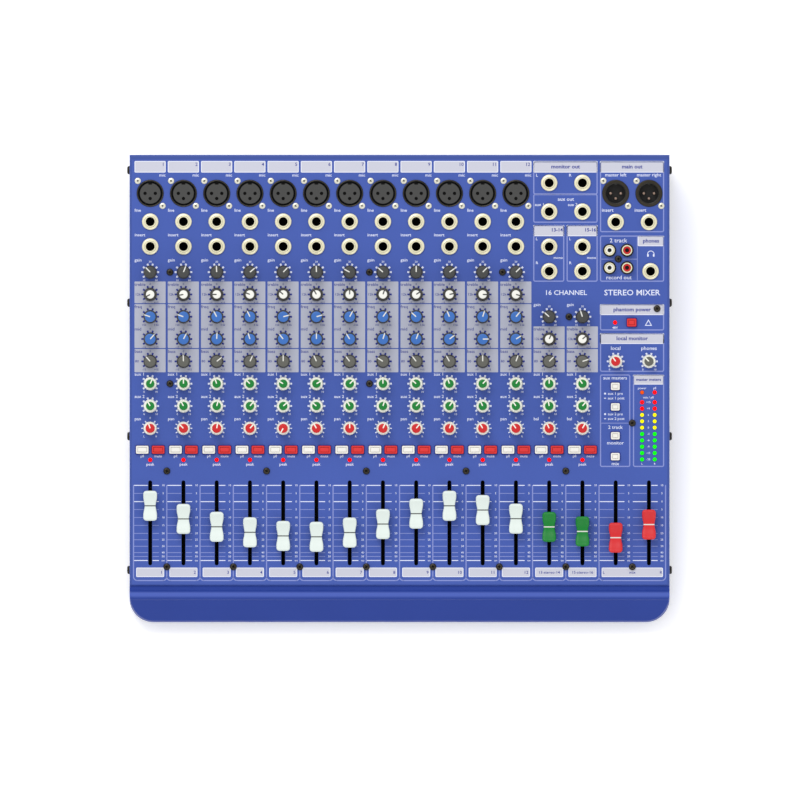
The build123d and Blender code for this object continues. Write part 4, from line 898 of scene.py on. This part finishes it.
def output_shape():
    """Shell in slot 0, dark cup in slot 1, pins in slot 2."""
    shell = [(10.75, -1.0), (10.75, 0.55), (10.5, 0.92), (10.1, 1.0), (8.9, 0.9), (8.3, 0.45), (8.2, -1.0)]
    cup = [(8.25, -12.5), (8.25, 0.3), (7.8, 0.1), (7.6, -0.4), (7.6, -12.5)]
    shape = turned(shell, cup, count=64)
    shape.take(lathe([(8.0, -12.8), (8.0, -12.3)], slot=1, count=48))
    key = soft_block(2.2, 1.2, -12.4, -0.3, 0.3, 0.3, slot=1)
    shape.take(key, move(0, 7.2))
    pin = lathe([(1.2, -12.4), (1.2, -1.6), (1.1, -1.1), (0.8, -0.8), (0.3, -0.7)], slot=2, count=20)
    for x, y in CONTACTS:
        shape.take(pin, move(x, y))
    return shape


output_materials = [socket_shell, socket_black, gold_pin]
spread("output_socket_set", output_shape(), OUTPUT_PLACES, output_materials, "output_sockets")


def phono_shape(tone_slot):
    """Black collar and dark bore in slot 0, barrel in slot 1 and coloured insulator in slot 2 or 3."""
    collar = [(5.15, 0.0), (5.15, 0.8), (4.95, 1.05), (4.3, 1.1), (4.2, 0.0)]
    barrel = [(4.15, 0.0), (4.15, 6.1), (4.0, 6.4), (3.3, 6.4), (3.15, 6.1), (3.15, 0.0)]
    insulator = [(3.1, 0.0), (3.1, 5.3), (2.95, 5.6), (1.9, 5.6), (1.65, 5.3), (1.6, 0.0)]
    shape = turned(collar, barrel).take(ring_lathe(insulator, slot=tone_slot))
    return shape.take(lathe([(1.65, 0.0), (1.65, 0.4)], slot=0, count=24))


phono_parts = [
    (phono_shape(tone_slot), on_panel(x, row)) for tone_slot, x in zip((2, 3), PHONO_X) for row in PHONO_ROWS
]
phono_materials = [socket_black, ivory_nickel, cap_white, cap_red]
make_piece("phono_socket_set", phono_parts, phono_materials, ["phono_sockets"])

# --- screws ---


def cross_outline(arm, half):
    """A four-armed recess, anticlockwise."""
    quarter = [(half, half), (half, arm), (-half, arm)]
    points = []
    for turn in range(4):
        c, s = cos(pi / 2 * turn), sin(pi / 2 * turn)
        points += [(c * x - s * y, s * x + c * y) for x, y in quarter]
    return points


def screw_shape(radius, height, recess):
    """A pan head in slot 0 with a cross recess whose floor is slot 1, which takes a near-black colour as
    painted shade.
    """
    rim = 0.55 * radius
    profile = ((1, 0), (1, 0.3), (0.95, 0.6), (0.8, 0.88), (0.55, 1), (0.55, 0.5), (0.55, 0))
    shape = ring_lathe([(across * radius, up * height) for across, up in profile], slot=0, count=32)
    shape.take(plate([circle(rim, 32), cross_outline(recess, 0.24 * recess)], 0.35 * height, height, slot=0))
    return shape.take(lathe([(rim, 0.0), (rim, 0.35 * height)], slot=1, count=24))


panel_screw = screw_shape(2.8, 1.8, 1.35)
side_screw = screw_shape(3.4, 1.95, 1.6)
foot_screw = screw_shape(3.2, 1.75, 1.5)
xlr_screw = screw_shape(2.55, 1.15, 1.1)

PANEL_SCREW_SPIN = 17  # degrees more for each next screw, as if driven by hand
SIDE_SCREW_SPIN = 23
XLR_SCREW_SPIN = 31
SIDE_SCREW_PLACES = ((177.0, 26.0), (70.9, 20.0), (-36.7, 20.0), (-144.5, 20.0))  # y and z
REAR_SCREW_X = (-190.0, -65.0, 65.0, 190.0)
REAR_SCREW_Z = 58.0
FOOT_INSET = 10.0  # of a foot's middle from the box round all four
TURN_EAST = Matrix.Rotation(radians(90), 4, "Y")
TURN_WEST = Matrix.Rotation(radians(-90), 4, "Y")
TURN_REAR = Matrix.Rotation(radians(-90), 4, "X")
TURN_DOWN = Matrix.Rotation(radians(180), 4, "X")


def case_screw_parts():
    cover_low, cover_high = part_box("top_cover")
    feet_low, feet_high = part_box("rubber_feet")
    foot_inset = FOOT_INSET * MM
    scale = Matrix.Scale(MM, 4)
    parts = [
        (panel_screw, on_panel(x, s, 0, PANEL_SCREW_SPIN * i)) for i, (x, s) in enumerate(PANEL_SCREW_PLACES)
    ]
    for i, (y, z) in enumerate(SIDE_SCREW_PLACES):
        for x, turn in ((cover_high.x, TURN_EAST), (cover_low.x, TURN_WEST)):
            spin = Matrix.Rotation(radians(SIDE_SCREW_SPIN * i), 4, "Z")
            parts.append((side_screw, Matrix.Translation((x, y * MM, z * MM)) @ turn @ spin @ scale))
    for x in REAR_SCREW_X:
        place = Matrix.Translation((x * MM, cover_high.y, REAR_SCREW_Z * MM))
        parts.append((side_screw, place @ TURN_REAR @ scale))
    for x in (feet_low.x + foot_inset, feet_high.x - foot_inset):
        for y in (feet_low.y + foot_inset, feet_high.y - foot_inset):
            place = Matrix.Translation((x, y, feet_high.z / 2))
            parts.append((foot_screw, place @ TURN_DOWN @ scale))
    return parts


# The screws' recess floors are near black: painted shade in the recess.
make_piece("case_screw_heads", case_screw_parts(), [black_steel, hole_black], ["case_screws"])
xlr_screw_places = [
    (x + side * XLR_SCREW_STEP[0], s + side * XLR_SCREW_STEP[1], XLR_SCREW_SPIN * i)
    for i, (x, s) in enumerate(XLR_PLACES + OUTPUT_PLACES)
    for side in (-1, 1)
]
# The recess floors of these screws are near black too: painted shade.
spread("xlr_screw_heads", xlr_screw, xlr_screw_places, [nickel, hole_black], "xlr_screws")

# --- lamps ---

LAMP_RADIUS = 1.55
LAMP_RIM = 0.45
LAMP_DOME = 1.1
LAMPS = [lamp_red, lamp_amber, lamp_yellow, lamp_green]
METER_COLOURS = (0, 0, 2, 2, 2, 3, 3, 3, 3, 3)  # numbers in LAMPS, from the top lamp down


def lamp_shape(slot):
    """A domed lamp with a small rim where it leaves the panel."""
    rings = [(LAMP_RADIUS, -2.0), (LAMP_RADIUS, LAMP_RIM)]
    for degrees in range(15, 90, 15):
        angle = radians(degrees)
        rings.append((LAMP_RADIUS * cos(angle), LAMP_RIM + LAMP_DOME * sin(angle)))
    return lathe([*rings, (0.05, LAMP_RIM + LAMP_DOME)], slot=slot, count=28)


lamp_shapes = [lamp_shape(slot) for slot in range(4)]


def lamp_places():
    """(x, s, colour number) of every lamp."""
    places = [(column_x(c), PEAK_ROW, 0) for c in range(STRIPS)]
    places += [(x, METER_TOP + step * LED_PITCH, METER_COLOURS[step]) for x in METER_X for step in range(10)]
    places += [(METER_X[0], STATUS_ROW, 1), (METER_X[1], STATUS_ROW, 0), (*PHANTOM_LED, 0)]
    return places


lamp_parts = [(lamp_shapes[colour], on_panel(x, s)) for x, s, colour in lamp_places()]
make_piece("indicator_lamps", lamp_parts, LAMPS, ["indicator_leds"])

# --- panel print ---

INK_LEVEL = 0.02
OVER_INK_LEVEL = 0.07
WORD = 2.7  # sizes of lettering
SMALL_TEXT = 2.2
TINY_TEXT = 1.7
REGULAR = 0.012  # weights of lettering
BOLD = 0.03
LINE = 0.9  # width of a frame's line
FRAME_LINE = 0.95
LABEL_RIM = 0.55
label_boxes, label_edges, equaliser_boxes = Shape(), Shape(), Shape()
# The blue print also holds the painted shade rings round the buttons.
white_print, blue_print_and_gap_shade, frame_print = Shape(), Shape(), Shape()


def block(width, height, corner):
    return plate([rounded_rectangle(width, height, corner)], 0, INK_TOP)


def outline_ring(width, height, corner, thickness):
    inner = rounded_rectangle(width - 2 * thickness, height - 2 * thickness, max(corner - thickness, 0.1))
    return plate([rounded_rectangle(width, height, corner), inner], 0, INK_TOP)


def between(left, right, top, bottom):
    """Middle and size of the box between two x and two s."""
    return move((left + right) / 2, -(top + bottom) / 2, INK_LEVEL), right - left, bottom - top


def label_box(left, right, top, bottom):
    place, width, height = between(left, right, top, bottom)
    label_edges.take(outline_ring(width, height, 0.8, LABEL_RIM), place)
    label_boxes.take(block(width - 2 * LABEL_RIM, height - 2 * LABEL_RIM, 0.3), place)


def frame_box(left, right, top, bottom):
    place, width, height = between(left, right, top, bottom)
    frame_print.take(outline_ring(width, height, 1.6, FRAME_LINE), place)


def bar(shape, left, right, top, bottom):
    place, width, height = between(left, right, top, bottom)
    shape.take(block(width, height, min(width, height) * 0.3), place)


def write(shape, text, x, s, size, align="LEFT", level=INK_LEVEL, weight=REGULAR):
    shape.take(lettering(text, size, align, weight), move(x, -s, level + INK_TOP / 2))


def white(text, x, s, size=WORD, align="LEFT"):
    write(white_print, text, x, s, size, align)


def blue(text, x, s, size=WORD, align="LEFT", weight=REGULAR):
    write(blue_print_and_gap_shade, text, x, s, size, align, OVER_INK_LEVEL, weight)


TICK_RADIUS = 6.25
MAIN_TICKS = (-126, -90, -54, -18, 18, 54, 90, 126)
PAN_TICKS = (-121, -90, -61, -35, 35, 61, 90, 121)
thick_tick = block(1.5, 1.7, 0.3)
thin_tick = block(0.9, 1.7, 0.2)
END_STEP = (4.9, 6.6)  # from a knob's middle to the numbers at its scale's ends, sideways and down
TOP_RISE = 8.2


def knob_scale(shape, x, s, ends, top=None, ticks=MAIN_TICKS, tick=thick_tick):
    """Marks round a knob, a number at either end of them and sometimes one at their top."""
    level = OVER_INK_LEVEL if shape is blue_print_and_gap_shade else INK_LEVEL
    for turn in ticks:
        shape.take(tick, move(x, -s, level, turn) @ Matrix.Translation((0, TICK_RADIUS, 0)))
    for text, side in zip(ends, (-1, 1)):
        write(shape, text, x + side * END_STEP[0], s + END_STEP[1], TINY_TEXT, "CENTER", level)
    if top:
        write(shape, top, x, s - TOP_RISE, TINY_TEXT, "CENTER", level)


TEXT_LEFT = -12.5
TEXT_RIGHT = 12.4
NUMBER_RIGHT = 11.4
NUMBER_ROW = 8.0
MIC_WORD_ROW = 16.6
LINE_WORD_RISE = 9.0
INSERT_WORD_RISE = 9.2
BUTTON_WORD_DROP = 5.2
PEAK_WORD_DROP = 3.6
WORD_RISES = {GAIN: 9.6, AUX_1: 7.5, AUX_2: 7.5, PAN: 7.5}
TONE_WORD_RISE = 7.9
BAND_GAP = 0.4
EQUALISER_WIDTH = 24.9


def equaliser_box(x, rows):
    """A pale box behind the tone controls, split into bands: rows are the s of its top, splits and bottom."""
    for upper, lower in zip(rows, rows[1:]):
        top = upper if upper == rows[0] else upper + BAND_GAP
        bottom = lower if lower == rows[-1] else lower - BAND_GAP
        place = move(x - 0.1, -(top + bottom) / 2, INK_LEVEL)
        equaliser_boxes.take(block(EQUALISER_WIDTH, bottom - top, 0.5), place)


def print_strip(x, stereo):
    """Everything printed round one channel strip's knobs and buttons."""
    gain_row = KNOB_ROWS[MID_FREQ if stereo else GAIN]
    treble_row = KNOB_ROWS[MID if stereo else TREBLE]
    white("gain", x + TEXT_LEFT, gain_row - WORD_RISES[GAIN])
    knob_scale(white_print, x, gain_row, ("10", "60"), "30")
    tones = [("treble", treble_row, "12k"), ("bass", KNOB_ROWS[BASS], "80")]
    if not stereo:
        tones += [("freq", KNOB_ROWS[MID_FREQ], None), ("mid", KNOB_ROWS[MID], None)]
    for word, row, frequency in tones:
        ends, top = (("150", "3.5k"), "1k") if word == "freq" else (("-15", "+15"), "0")
        blue(word, x + TEXT_LEFT, row - TONE_WORD_RISE)
        knob_scale(blue_print_and_gap_shade, x, row, ends, top)
        if frequency:
            blue(frequency, x + TEXT_LEFT + 0.4, row, SMALL_TEXT)
    for kind, word in ((AUX_1, "aux 1"), (AUX_2, "aux 2")):
        white(word, x + TEXT_LEFT, KNOB_ROWS[kind] - WORD_RISES[kind])
        knob_scale(white_print, x, KNOB_ROWS[kind], ("0", "10"))
    white("bal" if stereo else "pan", x + TEXT_LEFT, KNOB_ROWS[PAN] - WORD_RISES[PAN])
    knob_scale(white_print, x, KNOB_ROWS[PAN], "LR", "0", PAN_TICKS, thin_tick)
    white("pfl", x - BUTTON_OFFSET, BUTTON_ROW + BUTTON_WORD_DROP, SMALL_TEXT, "CENTER")
    white("mute", x + BUTTON_OFFSET, BUTTON_ROW + BUTTON_WORD_DROP, SMALL_TEXT, "CENTER")
    white("peak", x, PEAK_ROW + PEAK_WORD_DROP, 2.5, "CENTER")


# Painted shade: a dark ring of blue ink round every button, for the shaded gap between the button and its
# hole.
GAP_SHADE_WIDTH = 0.75
button_gap_shades = [(x, s, *CHANNEL_CAP) for x, s in pfl_places + mute_places]
button_gap_shades += [(MASTER_BUTTON_X, s, *MASTER_CAP) for s in MASTER_BUTTON_ROWS]
button_gap_shades += [(*PHANTOM_BUTTON, *PHANTOM_CAP)]
for x, s, width, depth in button_gap_shades:
    outer = rounded_rectangle(width + 2 * GAP_SHADE_WIDTH, depth + 2 * GAP_SHADE_WIDTH, 1.3)
    inner = rounded_rectangle(width + 0.3, depth + 0.3, 0.6)
    blue_print_and_gap_shade.take(plate([outer, inner], 0, INK_TOP), move(x, -s, INK_LEVEL))

HEADER = (5.2, 14.4)
EQUALISER_ROWS = (101.6, 119.3, 155.2, 174.2)
STEREO_EQUALISER_ROWS = (137.5, 155.2, 174.2)
for column in range(MONO):
    x = column_x(column)
    label_box(x + TEXT_LEFT, x + TEXT_RIGHT, *HEADER)
    blue(str(column + 1), x + NUMBER_RIGHT, NUMBER_ROW, 2.9, "RIGHT")
    white("mic", x + TEXT_RIGHT, MIC_WORD_ROW, align="RIGHT")
    white("line", x + TEXT_LEFT, LINE_ROW - LINE_WORD_RISE)
    white("insert", x + TEXT_LEFT, INSERT_ROW - INSERT_WORD_RISE)
    equaliser_box(x, EQUALISER_ROWS)
    print_strip(x, stereo=False)
for column in range(MONO, STRIPS):
    equaliser_box(column_x(column), STEREO_EQUALISER_ROWS)
    print_strip(column_x(column), stereo=True)

# fader scales and their labels
SCALE_ROWS = (264.7, 271.1, 277.7, 284.0, 290.4, 296.7, 303.1, 308.2, 313.4, 318.5, 321.6, 324.8)
SCALE_TEXT = ("10", "5", "0", "5", "10", "15", "20", "25", "30", "40", "50", "oo")
FADER_SLOT_HALF = 1.75
FADER_FRAME_BOTTOM = 340.8
FADER_FRAME_CORNER = 3.0
FADER_LABELS = (330.5, 338.0)
FADER_LABEL_HALF = 11.2
FADER_TEXT_ROW = 334.4
FADER_FRAMES = [(column, column + 1) for column in range(STRIPS)] + [(STRIPS, COLUMNS)]


def print_fader_scale(column):
    """The lines and numbers beside one fader's slot."""
    x = column_x(column)
    clear = FADER_SLOT_HALF + 0.15
    for row, text in zip(SCALE_ROWS, SCALE_TEXT):
        bright = text == "0" or row in (SCALE_ROWS[0], SCALE_ROWS[-1])
        half = 0.34 if bright else 0.27
        target = white_print if bright else frame_print
        bar(target, boundary_x(column) + 0.4, x - clear, row - half, row + half)
        bar(target, x + clear, x + 7.0, row - half, row + half)
        white(text, x + 10.4, row, TINY_TEXT, "CENTER")


def arc_band(x, s, radius, thickness, start, sweep, steps, side=1):
    """A band along part of a circle, by degrees anticlockwise; side -1 mirrors it."""
    outer, inner = [], []
    for step in range(steps + 1):
        angle = radians(start + sweep * step / steps)
        cx, cy = side * cos(angle), sin(angle)
        outer.append((x + radius * cx, -s + radius * cy))
        inner.append((x + (radius - thickness) * cx, -s + (radius - thickness) * cy))
    return plate([outer + inner[::-1]], 0, INK_TOP)


def frame_side(x):
    bar(frame_print, x - LINE / 2, x + LINE / 2, SCALE_ROWS[0] - 0.3, FADER_FRAME_BOTTOM - FADER_FRAME_CORNER)


def print_fader_frame(left, right):
    """The line down the left of one or two faders and along under them, with its two rounded corners."""
    frame_side(left)
    bar(frame_print, left + 2.6, right - 2.6, FADER_FRAME_BOTTOM - LINE / 2, FADER_FRAME_BOTTOM + LINE / 2)
    for side, edge in ((1, left), (-1, right)):
        x, s = edge + side * FADER_FRAME_CORNER, FADER_FRAME_BOTTOM - FADER_FRAME_CORNER
        corner = arc_band(x, s, FADER_FRAME_CORNER + LINE / 2, LINE, 180, 90, 8, side)
        frame_print.take(corner, move(0, 0, INK_LEVEL))


for column in range(COLUMNS):
    print_fader_scale(column)
for first, last in FADER_FRAMES:
    print_fader_frame(boundary_x(first), boundary_x(last))
frame_side(boundary_x(COLUMNS))
for first, last in FADER_FRAMES:
    label_box(column_x(first) - FADER_LABEL_HALF, column_x(last - 1) + FADER_LABEL_HALF, *FADER_LABELS)
for column in range(MONO):
    blue(str(column + 1), column_x(column) + 10.0, FADER_TEXT_ROW, align="RIGHT")
for column, text in ((12, "13-stereo-14"), (13, "15-stereo-16")):
    blue(text, column_x(column), FADER_TEXT_ROW, 2.4, "CENTER")
for text, x in (("L", column_x(14) - 9.6), ("mix", boundary_x(15)), ("R", column_x(15) + 9.6)):
    blue(text, x, FADER_TEXT_ROW, 2.5, "CENTER")

# stereo and master sections
STEREO_LEFT, STEREO_RIGHT = 106.9, 158.5
STEREO_MIDDLE = (131.8, 133.6)
OUTPUTS_TOP = 5.4
MONITOR_BOTTOM = 32.0
AUX_TOP, AUX_BOTTOM = 31.6, 54.6
STEREO_TOP = 56.4
MASTER_LEFT, MASTER_RIGHT = 160.3, 211.7
MASTER_MIDDLE = (MASTER_LEFT + MASTER_RIGHT) / 2
MASTER_SOCKETS_BOTTOM = 62.2
SOCKETS_BOTTOM = 101.8
TITLE_ROW = 110.7


def header(text, left, right, top, bottom, size=3.4):
    label_box(left, right, top, bottom)
    blue(text, (left + right) / 2, (top + bottom) / 2, size, "CENTER", BOLD)


frame_box(STEREO_LEFT, STEREO_RIGHT, OUTPUTS_TOP, MONITOR_BOTTOM)
header("monitor out", STEREO_LEFT, STEREO_RIGHT, *HEADER)
frame_box(STEREO_LEFT, STEREO_RIGHT, AUX_TOP, AUX_BOTTOM)
white("aux out", boundary_x(13), 35.8, 3.1, "CENTER")
for x, monitor, aux in ((109.0, "L", "aux 1"), (135.4, "R", "aux 2")):
    white(monitor, x, 16.7, 2.6)
    white(aux, x - 0.8, 40.2, 2.6)
STEREO_PAIRS = ((STEREO_LEFT, STEREO_MIDDLE[0], "13-14"), (STEREO_MIDDLE[1], STEREO_RIGHT, "15-16"))
for left, right, text in STEREO_PAIRS:
    frame_box(left, right, STEREO_TOP, SOCKETS_BOTTOM)
    label_box(left, right, STEREO_TOP, STEREO_TOP + 8.9)
    blue(text, right - 1.2, STEREO_TOP + 4.0, 3.0, "RIGHT", BOLD)
    white("L", left + 2.0, 67.6, 2.4)
    white("R", left + 2.0, 86.8, 2.4)
    white("mono", right - 1.2, 82.6, 2.3, "RIGHT")

frame_box(MASTER_LEFT, MASTER_RIGHT, OUTPUTS_TOP, MASTER_SOCKETS_BOTTOM)
header("main out", MASTER_LEFT, MASTER_RIGHT, *HEADER)
white("master left", column_x(14), 16.4, 2.9, "CENTER")
white("master right", column_x(15), 16.4, 2.9, "CENTER")
white("insert", column_x(14) - 11.2, 44.6, 3.0)
white("insert", column_x(15) - 11.6, 44.6, 3.0)

PHONES_LEFT = 190.2
THIN = 0.3  # half a thin dividing line
TRACK_TOP, TRACK_SPLIT = 64.8, 83.7
frame_box(MASTER_LEFT, MASTER_RIGHT, TRACK_TOP, SOCKETS_BOTTOM)
bar(frame_print, PHONES_LEFT - THIN, PHONES_LEFT + THIN, 65.3, SOCKETS_BOTTOM - 0.5)
for left, right in ((MASTER_LEFT + 0.5, 171.4), (178.6, PHONES_LEFT - THIN)):
    bar(frame_print, left, right, TRACK_SPLIT - THIN, TRACK_SPLIT + THIN)
white("2 track", 175.0, 68.9, 3.6, "CENTER")
white("record out", 175.4, 98.5, 3.4, "CENTER")
header("phones", PHONES_LEFT + 0.4, MASTER_RIGHT, 65.0, 73.3, 3.3)


def headphone_icon(x, s):
    """A headband arc with two ear pieces."""
    shape = arc_band(x, s, 2.9, 0.55, 0, 180, 16)
    for side in (-1, 1):
        shape.take(block(1.3, 2.2, 0.5), move(x + side * 2.3, -s - 0.9))
    return shape


white_print.take(headphone_icon(201.0, 79.8), move(0, 0, INK_LEVEL))
white("16 CHANNEL", boundary_x(13), TITLE_ROW, 4.2, "CENTER")
white("STEREO MIXER", MASTER_MIDDLE, TITLE_ROW, 5.0, "CENTER")

HEADER_DEPTH = 8.6
PHANTOM_TOP, PHANTOM_BOTTOM = 119.8, 140.8
frame_box(MASTER_LEFT, MASTER_RIGHT, PHANTOM_TOP, PHANTOM_BOTTOM)
header("phantom power", MASTER_LEFT, MASTER_RIGHT, PHANTOM_TOP, PHANTOM_TOP + HEADER_DEPTH)
white("48V", PHANTOM_LED[0], 138.6, 2.0, "CENTER")
triangle = plate([[(-2.9, -2.4), (2.9, -2.4), (0, 2.7)], [(-1.9, -1.8), (0, 1.5), (1.9, -1.8)]], 0, INK_TOP)
white_print.take(triangle, move(199.1, -134.6, INK_LEVEL))

LOCAL_TOP, LOCAL_BOTTOM = 142.9, 173.9
frame_box(MASTER_LEFT, MASTER_RIGHT, LOCAL_TOP, LOCAL_BOTTOM)
header("local monitor", MASTER_LEFT, MASTER_RIGHT, LOCAL_TOP, LOCAL_TOP + HEADER_DEPTH)
for text, (x, s, turn) in (("local", LOCAL_PLACE), ("phones", PHONES_PLACE)):
    white(text, x, s - 10.4, 3.2, "CENTER")
    knob_scale(white_print, x, s, ("0", "10"))

MASTERS_RIGHT = 184.6
METERS_LEFT = 186.7
METERS_TOP, METERS_BOTTOM = 175.9, 250.0
MASTERS_SPLIT = 214.9
frame_box(MASTER_LEFT, MASTERS_RIGHT, METERS_TOP, METERS_BOTTOM)
bar(frame_print, MASTER_LEFT + 0.5, MASTERS_RIGHT - 0.5, MASTERS_SPLIT - THIN, MASTERS_SPLIT + THIN)
white("aux masters", (MASTER_LEFT + MASTERS_RIGHT) / 2, 178.8, 2.9, "CENTER")
for number, row in enumerate((191.3, 207.7), 1):
    for line, (word, height) in enumerate((("pre", 1.4), ("post", 0.7))):
        s = row + 3.7 * line
        white(f"aux {number} {word}", 166.6, s, 2.3)
        bar(white_print, 163.6, 165.2, s - height / 2, s + height / 2)
for text, s in (("2 track", 218.3), ("monitor", 230.8), ("mix", 247.4)):
    white(text, MASTER_BUTTON_X, s, 3.0, "CENTER")

METER_WORD = 1.9
STATUS_WORD_ROW = 187.0
METER_MIDDLE = sum(METER_X) / 2
METER_TEXT = ("+15", "+9", "6", "3", "0", "-3", "-6", "-9", "-15", "-20")
frame_box(METERS_LEFT, MASTER_RIGHT, METERS_TOP, METERS_BOTTOM)
header("master meters", METERS_LEFT, MASTER_RIGHT, 176.2, 184.0, 2.5)
white("power", METER_X[0], STATUS_WORD_ROW, METER_WORD, "CENTER")
white("pfl", METER_X[1], STATUS_WORD_ROW, METER_WORD, "CENTER")
white("mix / pfl", METER_MIDDLE, 194.4, METER_WORD, "CENTER")
for step, text in enumerate(METER_TEXT):
    white(text, METER_MIDDLE, METER_TOP + step * LED_PITCH, TINY_TEXT, "CENTER")
for text, x in zip("LR", METER_X):
    white(text, x, METER_TOP + 9 * LED_PITCH + 3.6, TINY_TEXT, "CENTER")

PRINTS = (
    ("label_print", label_boxes, label_ink),
    ("label_edge_print", label_edges, label_edge_ink),
    ("equaliser_print", equaliser_boxes, equaliser_ink),
    ("white_print", white_print, white_ink),
    ("blue_print_and_gap_shade", blue_print_and_gap_shade, blue_ink_and_gap_shade),
    ("frame_print", frame_print, frame_ink),
)
for name, shape, printed in PRINTS:
    make_piece(name, [(shape, on_panel(0, 0))], [printed])

# --- finishes of the CAD pieces that stay ---


def dress(node, material):
    """Puts a material on a CAD piece."""
    mesh = frame["nodes"][node].data
    mesh.materials.clear()
    mesh.materials.append(material)


DRESSED = {
    "top_cover": panel_paint_with_fold_shade,
    "front_nose": nose_paint,
    "base_tray": tray_paint,
    "rubber_feet": rubber,
    "standoffs": nickel,
    "circuit_boards": board_green,
    "jack_bodies": socket_black,
    "rotary_pots": pot_grey,
    "switch_bodies": socket_black,
    "fader_tracks": hole_black,
    "power_supply": supply_grey,
    "power_inlet": socket_black,
    "power_rocker": socket_black,
}
for node, material in DRESSED.items():
    dress(node, material)

# --- floor, light and camera ---


FLOOR_SIZE = 12.0
FLOOR_WHITE = (0.97, 0.97, 0.97)
FLOOR_GLOW = 0.22  # the floor is a lit white table


def lay_floor():
    mesh = bpy.data.meshes.new("studio_floor")
    half = FLOOR_SIZE / 2
    corners = [(-half, -half, 0), (half, -half, 0), (half, half, 0), (-half, half, 0)]
    mesh.from_pydata(corners, [], [(0, 1, 2, 3)])
    made = Nodes("studio_floor")
    made.fix(made.shader, Specular_IOR_Level=0.2, Roughness=0.6, Emission_Strength=FLOOR_GLOW)
    tone = made.mix(made.noise(3.0), scaled(FLOOR_WHITE, 0.995), scaled(FLOOR_WHITE, 1.0))
    made.feed(tone, "Base Color", "Emission Color")
    mesh.materials.append(made.material)
    floor = add_object("studio_floor", mesh)


def soft_light(name, place, target, width, depth, watts):
    data = bpy.data.lights.new(name, "AREA")
    data.shape = "RECTANGLE"
    data.size, data.size_y = width, depth
    data.energy = watts
    light = add_object(name, data)
    light.location = place
    light.rotation_mode = "QUATERNION"
    light.rotation_quaternion = (target - place).to_track_quat("-Z", "Y")


VIEW_WIDTH = 0.64  # metres, like VIEW_DISTANCE
VIEW_DISTANCE = 1.6
VIEW_CENTRE_S = 196.4  # millimetres, like VIEW_SIDE
VIEW_SIDE = 0.35
WORLD_STRENGTH = 0.9
# Each light's metres to the right, uphill and off the panel from its middle, then width, depth and watts.
LIGHTS = {
    "key_light": (-0.6, 1.5, 2.1, 1.5, 1.0, 27),
    "rim_light": (0.8, -2.0, 2.0, 1.8, 1.0, 9),
}

lay_floor()
look_at = PANEL_ORIGIN - VIEW_CENTRE_S * MM * UPHILL
for name, (right, uphill, off, *lamp) in LIGHTS.items():
    soft_light(name, look_at + off * NORMAL + uphill * UPHILL + right * RIGHT, look_at, *lamp)

world = bpy.data.worlds.new("studio")
world.use_nodes = True
Nodes.fix(world.node_tree.nodes["Background"], Color=(1.0, 1.0, 1.0, 1.0), Strength=WORLD_STRENGTH)
bpy.context.scene.world = world
bpy.context.scene.view_settings.view_transform = "Standard"

camera_data = bpy.data.cameras.new("camera")
camera_data.type = "ORTHO"
camera_data.ortho_scale = VIEW_WIDTH
camera = add_object("camera", camera_data)
middle = look_at + VIEW_SIDE * MM * RIGHT
camera.matrix_world = Matrix.Translation(middle + VIEW_DISTANCE * NORMAL) @ PANEL_TURN
bpy.context.scene.camera = camera
